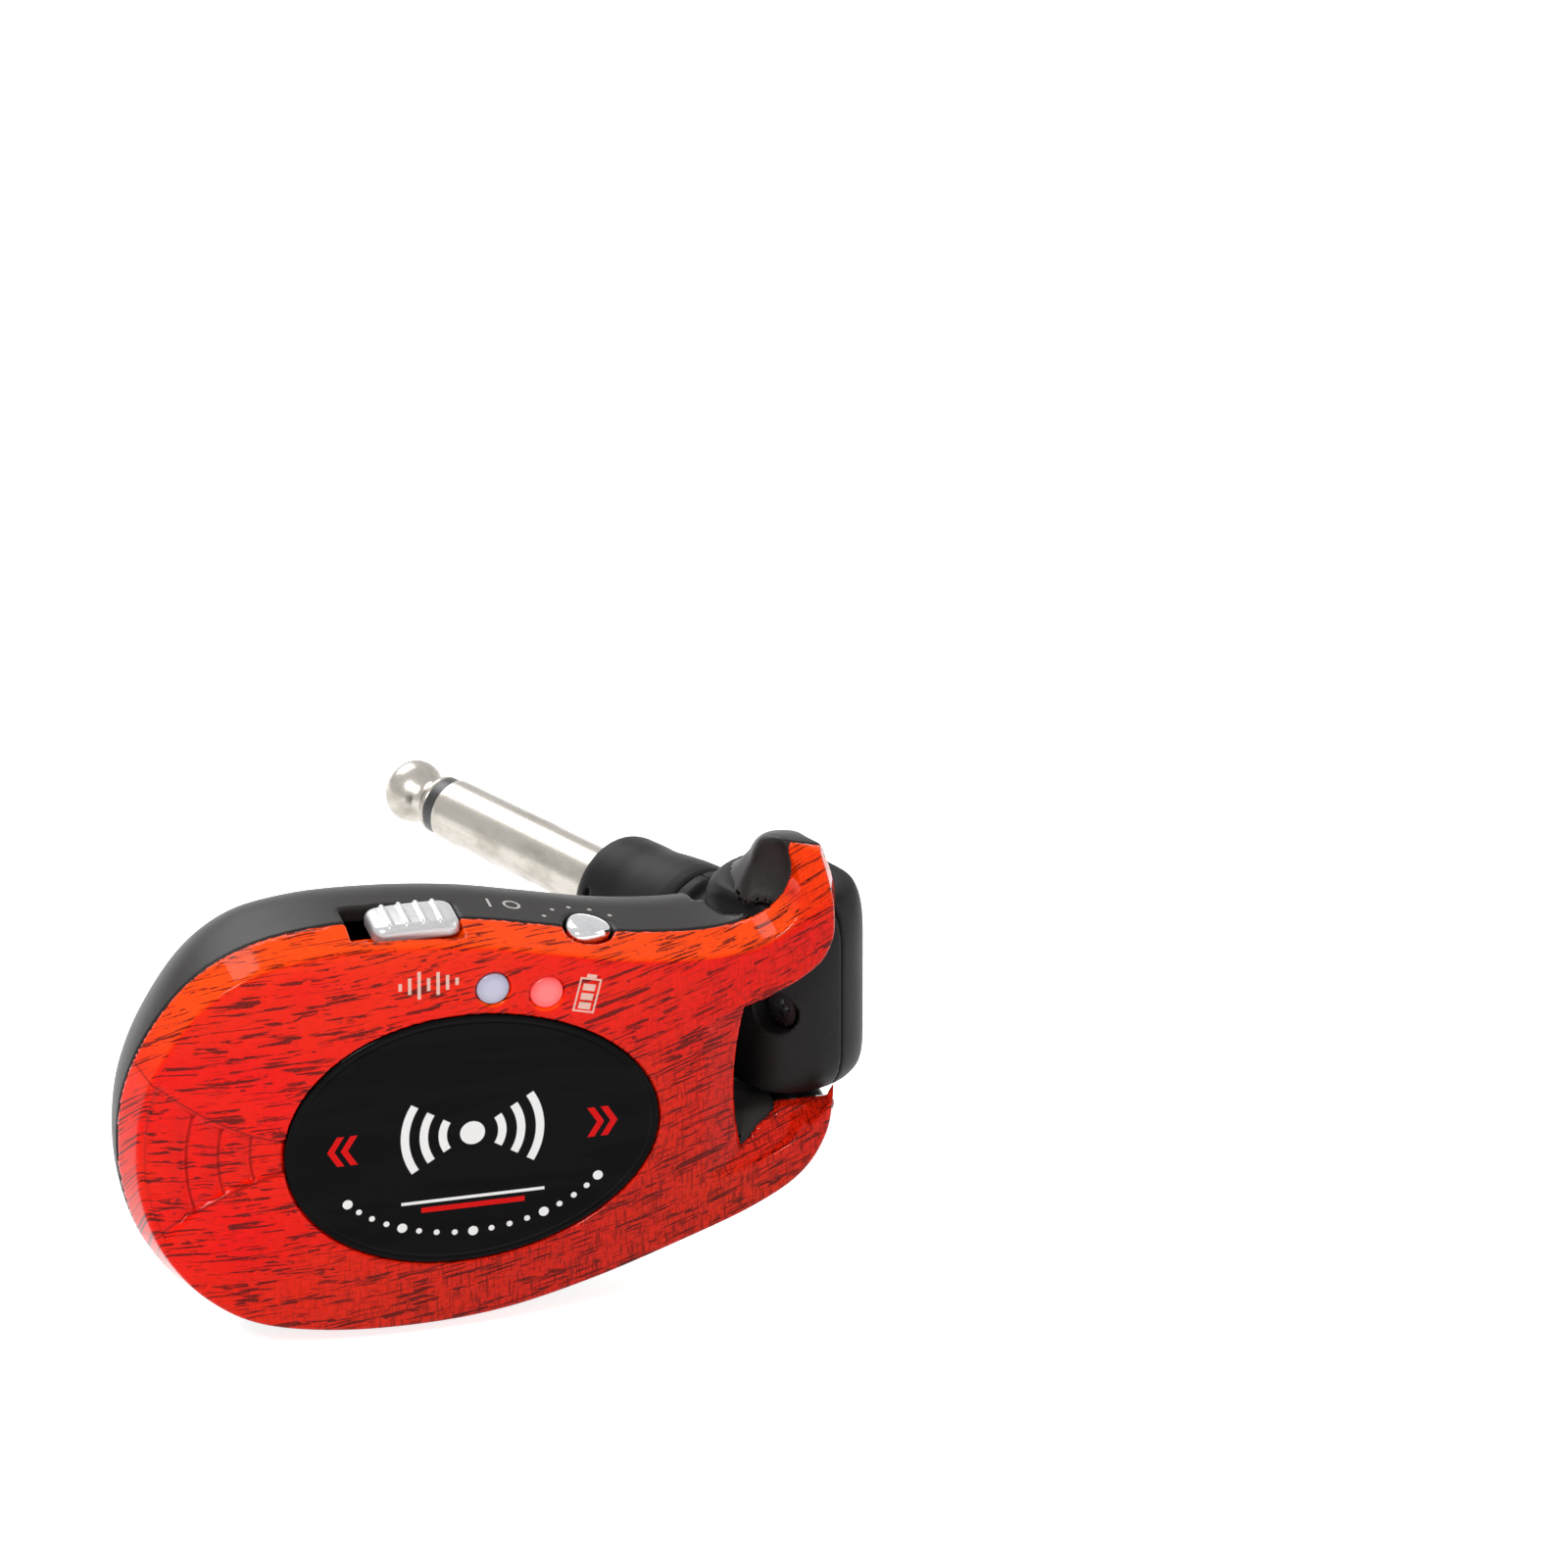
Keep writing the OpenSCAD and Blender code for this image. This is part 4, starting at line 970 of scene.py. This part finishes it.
tip = [(15.4, 0.6), (15.4, 1.2), (RING_TO - 0.3, 1.2), (RING_TO, 1.25), (RING_TO, 2.82),
       (RING_TO + 0.08, 2.92), (RING_TO + 0.45, 2.92), (RING_TO + 0.6, 2.84),
       (RING_TO + 0.85, 2.5), (RING_TO + 1.15, 2.2), (RING_TO + 1.6, 2.06), (RING_TO + 2.0, 2.12),
       (RING_TO + 2.4, 2.38), (RING_TO + 2.8, 2.68), (RING_TO + 3.3, 2.94), (RING_TO + 3.9, 3.12),
       (RING_TO + 4.5, 3.16), (RING_TO + 5.1, 3.07), (RING_TO + 5.6, 2.82), (RING_TO + 6.0, 2.45),
       (RING_TO + 6.4, 2.05), (RING_TO + 6.9, 1.58), (RING_TO + 7.4, 1.12), (RING_TO + 7.9, 0.72),
       (RING_TO + 8.2, 0.5), (RING_TO + 8.4, 0.32), (POINT, 0.12)]
points, faces = skin(turned(tip))
piece("plug_tip_plated", arm_to_body(points), faces, nickel, "plug_nickel", "plug_arm", "plug_tip")


# ---- the pieces kept from the CAD model -----------------------------------------------------
# Screws, pins, washers, the plug's insulator and everything inside keep their CAD shape. Each
# gets its own finish: two colours mixed by a fine noise, which also varies gloss and relief.
KEPT = {
    # nodes: slot, colour, second colour, roughness, metallic, ripples to the mm
    ("case_screws", "hinge_pins", "block_screw"):
        ("screw_steel", (0.20, 0.20, 0.21), (0.34, 0.34, 0.35), 0.28, 1.0, (5, 5, 5)),
    ("friction_washers",): ("washer", (0.03, 0.03, 0.03), (0.06, 0.06, 0.06), 0.45, 0.0, (4, 4, 4)),
    ("plug_insulator",):
        ("insulator_black", (0.010, 0.010, 0.010), (0.03, 0.03, 0.03), 0.35, 0.0, (6, 6, 6)),
    ("block_nut", "sleeve_nut", "tip_terminal", "sleeve_terminal"):
        ("brass", (0.62, 0.42, 0.16), (0.78, 0.58, 0.28), 0.25, 1.0, (3, 3, 3)),
    ("circuit_board",): ("board_green", (0.004, 0.055, 0.020), (0.010, 0.12, 0.045), 0.35, 0.0,
                         (1.5, 1.5, 1.5)),
    ("shield_can", "charging_socket", "power_switch", "channel_switch"):
        ("tin", (0.52, 0.52, 0.50), (0.70, 0.70, 0.68), 0.26, 1.0, (2, 9, 2)),
    ("antenna",): ("ceramic", (0.72, 0.70, 0.64), (0.82, 0.80, 0.76), 0.4, 0.0, (4, 4, 4)),
    ("light_chips",): ("chip_white", (0.75, 0.74, 0.66), (0.85, 0.84, 0.70), 0.3, 0.0, (5, 5, 5)),
    ("audio_chip",): ("chip_black", (0.012, 0.012, 0.013), (0.03, 0.03, 0.03), 0.5, 0.0, (8, 8, 8)),
    ("battery_cell",):
        ("cell_wrap", (0.32, 0.40, 0.46), (0.46, 0.53, 0.58), 0.22, 0.3, (0.8, 3, 3)),
    ("battery_pad",): ("foam", (0.05, 0.05, 0.055), (0.13, 0.13, 0.14), 0.9, 0.0, (5, 5, 5)),
    ("battery_connector",): ("nylon", (0.66, 0.63, 0.54), (0.78, 0.75, 0.66), 0.45, 0.0, (3, 3, 3)),
}
for nodes, (slot, first, second, rough, metal, stretch) in KEPT.items():
    finish = Finish(slot + "_finish", Metallic=metal)
    fine = finish.noise(stretch, 4, 0.6)
    coarse = finish.noise((0.4, 0.4, 0.4), 2, 0.5)
    finish.feed(Base_Color=finish.mix(fine.rise(0.3, 0.7) * 0.7 + coarse * 0.3, first, second),
                Roughness=fine * 0.16 + coarse * 0.10 + (rough - 0.12))
    finish.bump(fine, 0.000012)
    for node in nodes:
        frame["nodes"][node].data.materials.clear()
        frame["nodes"][node].data.materials.append(finish.material)
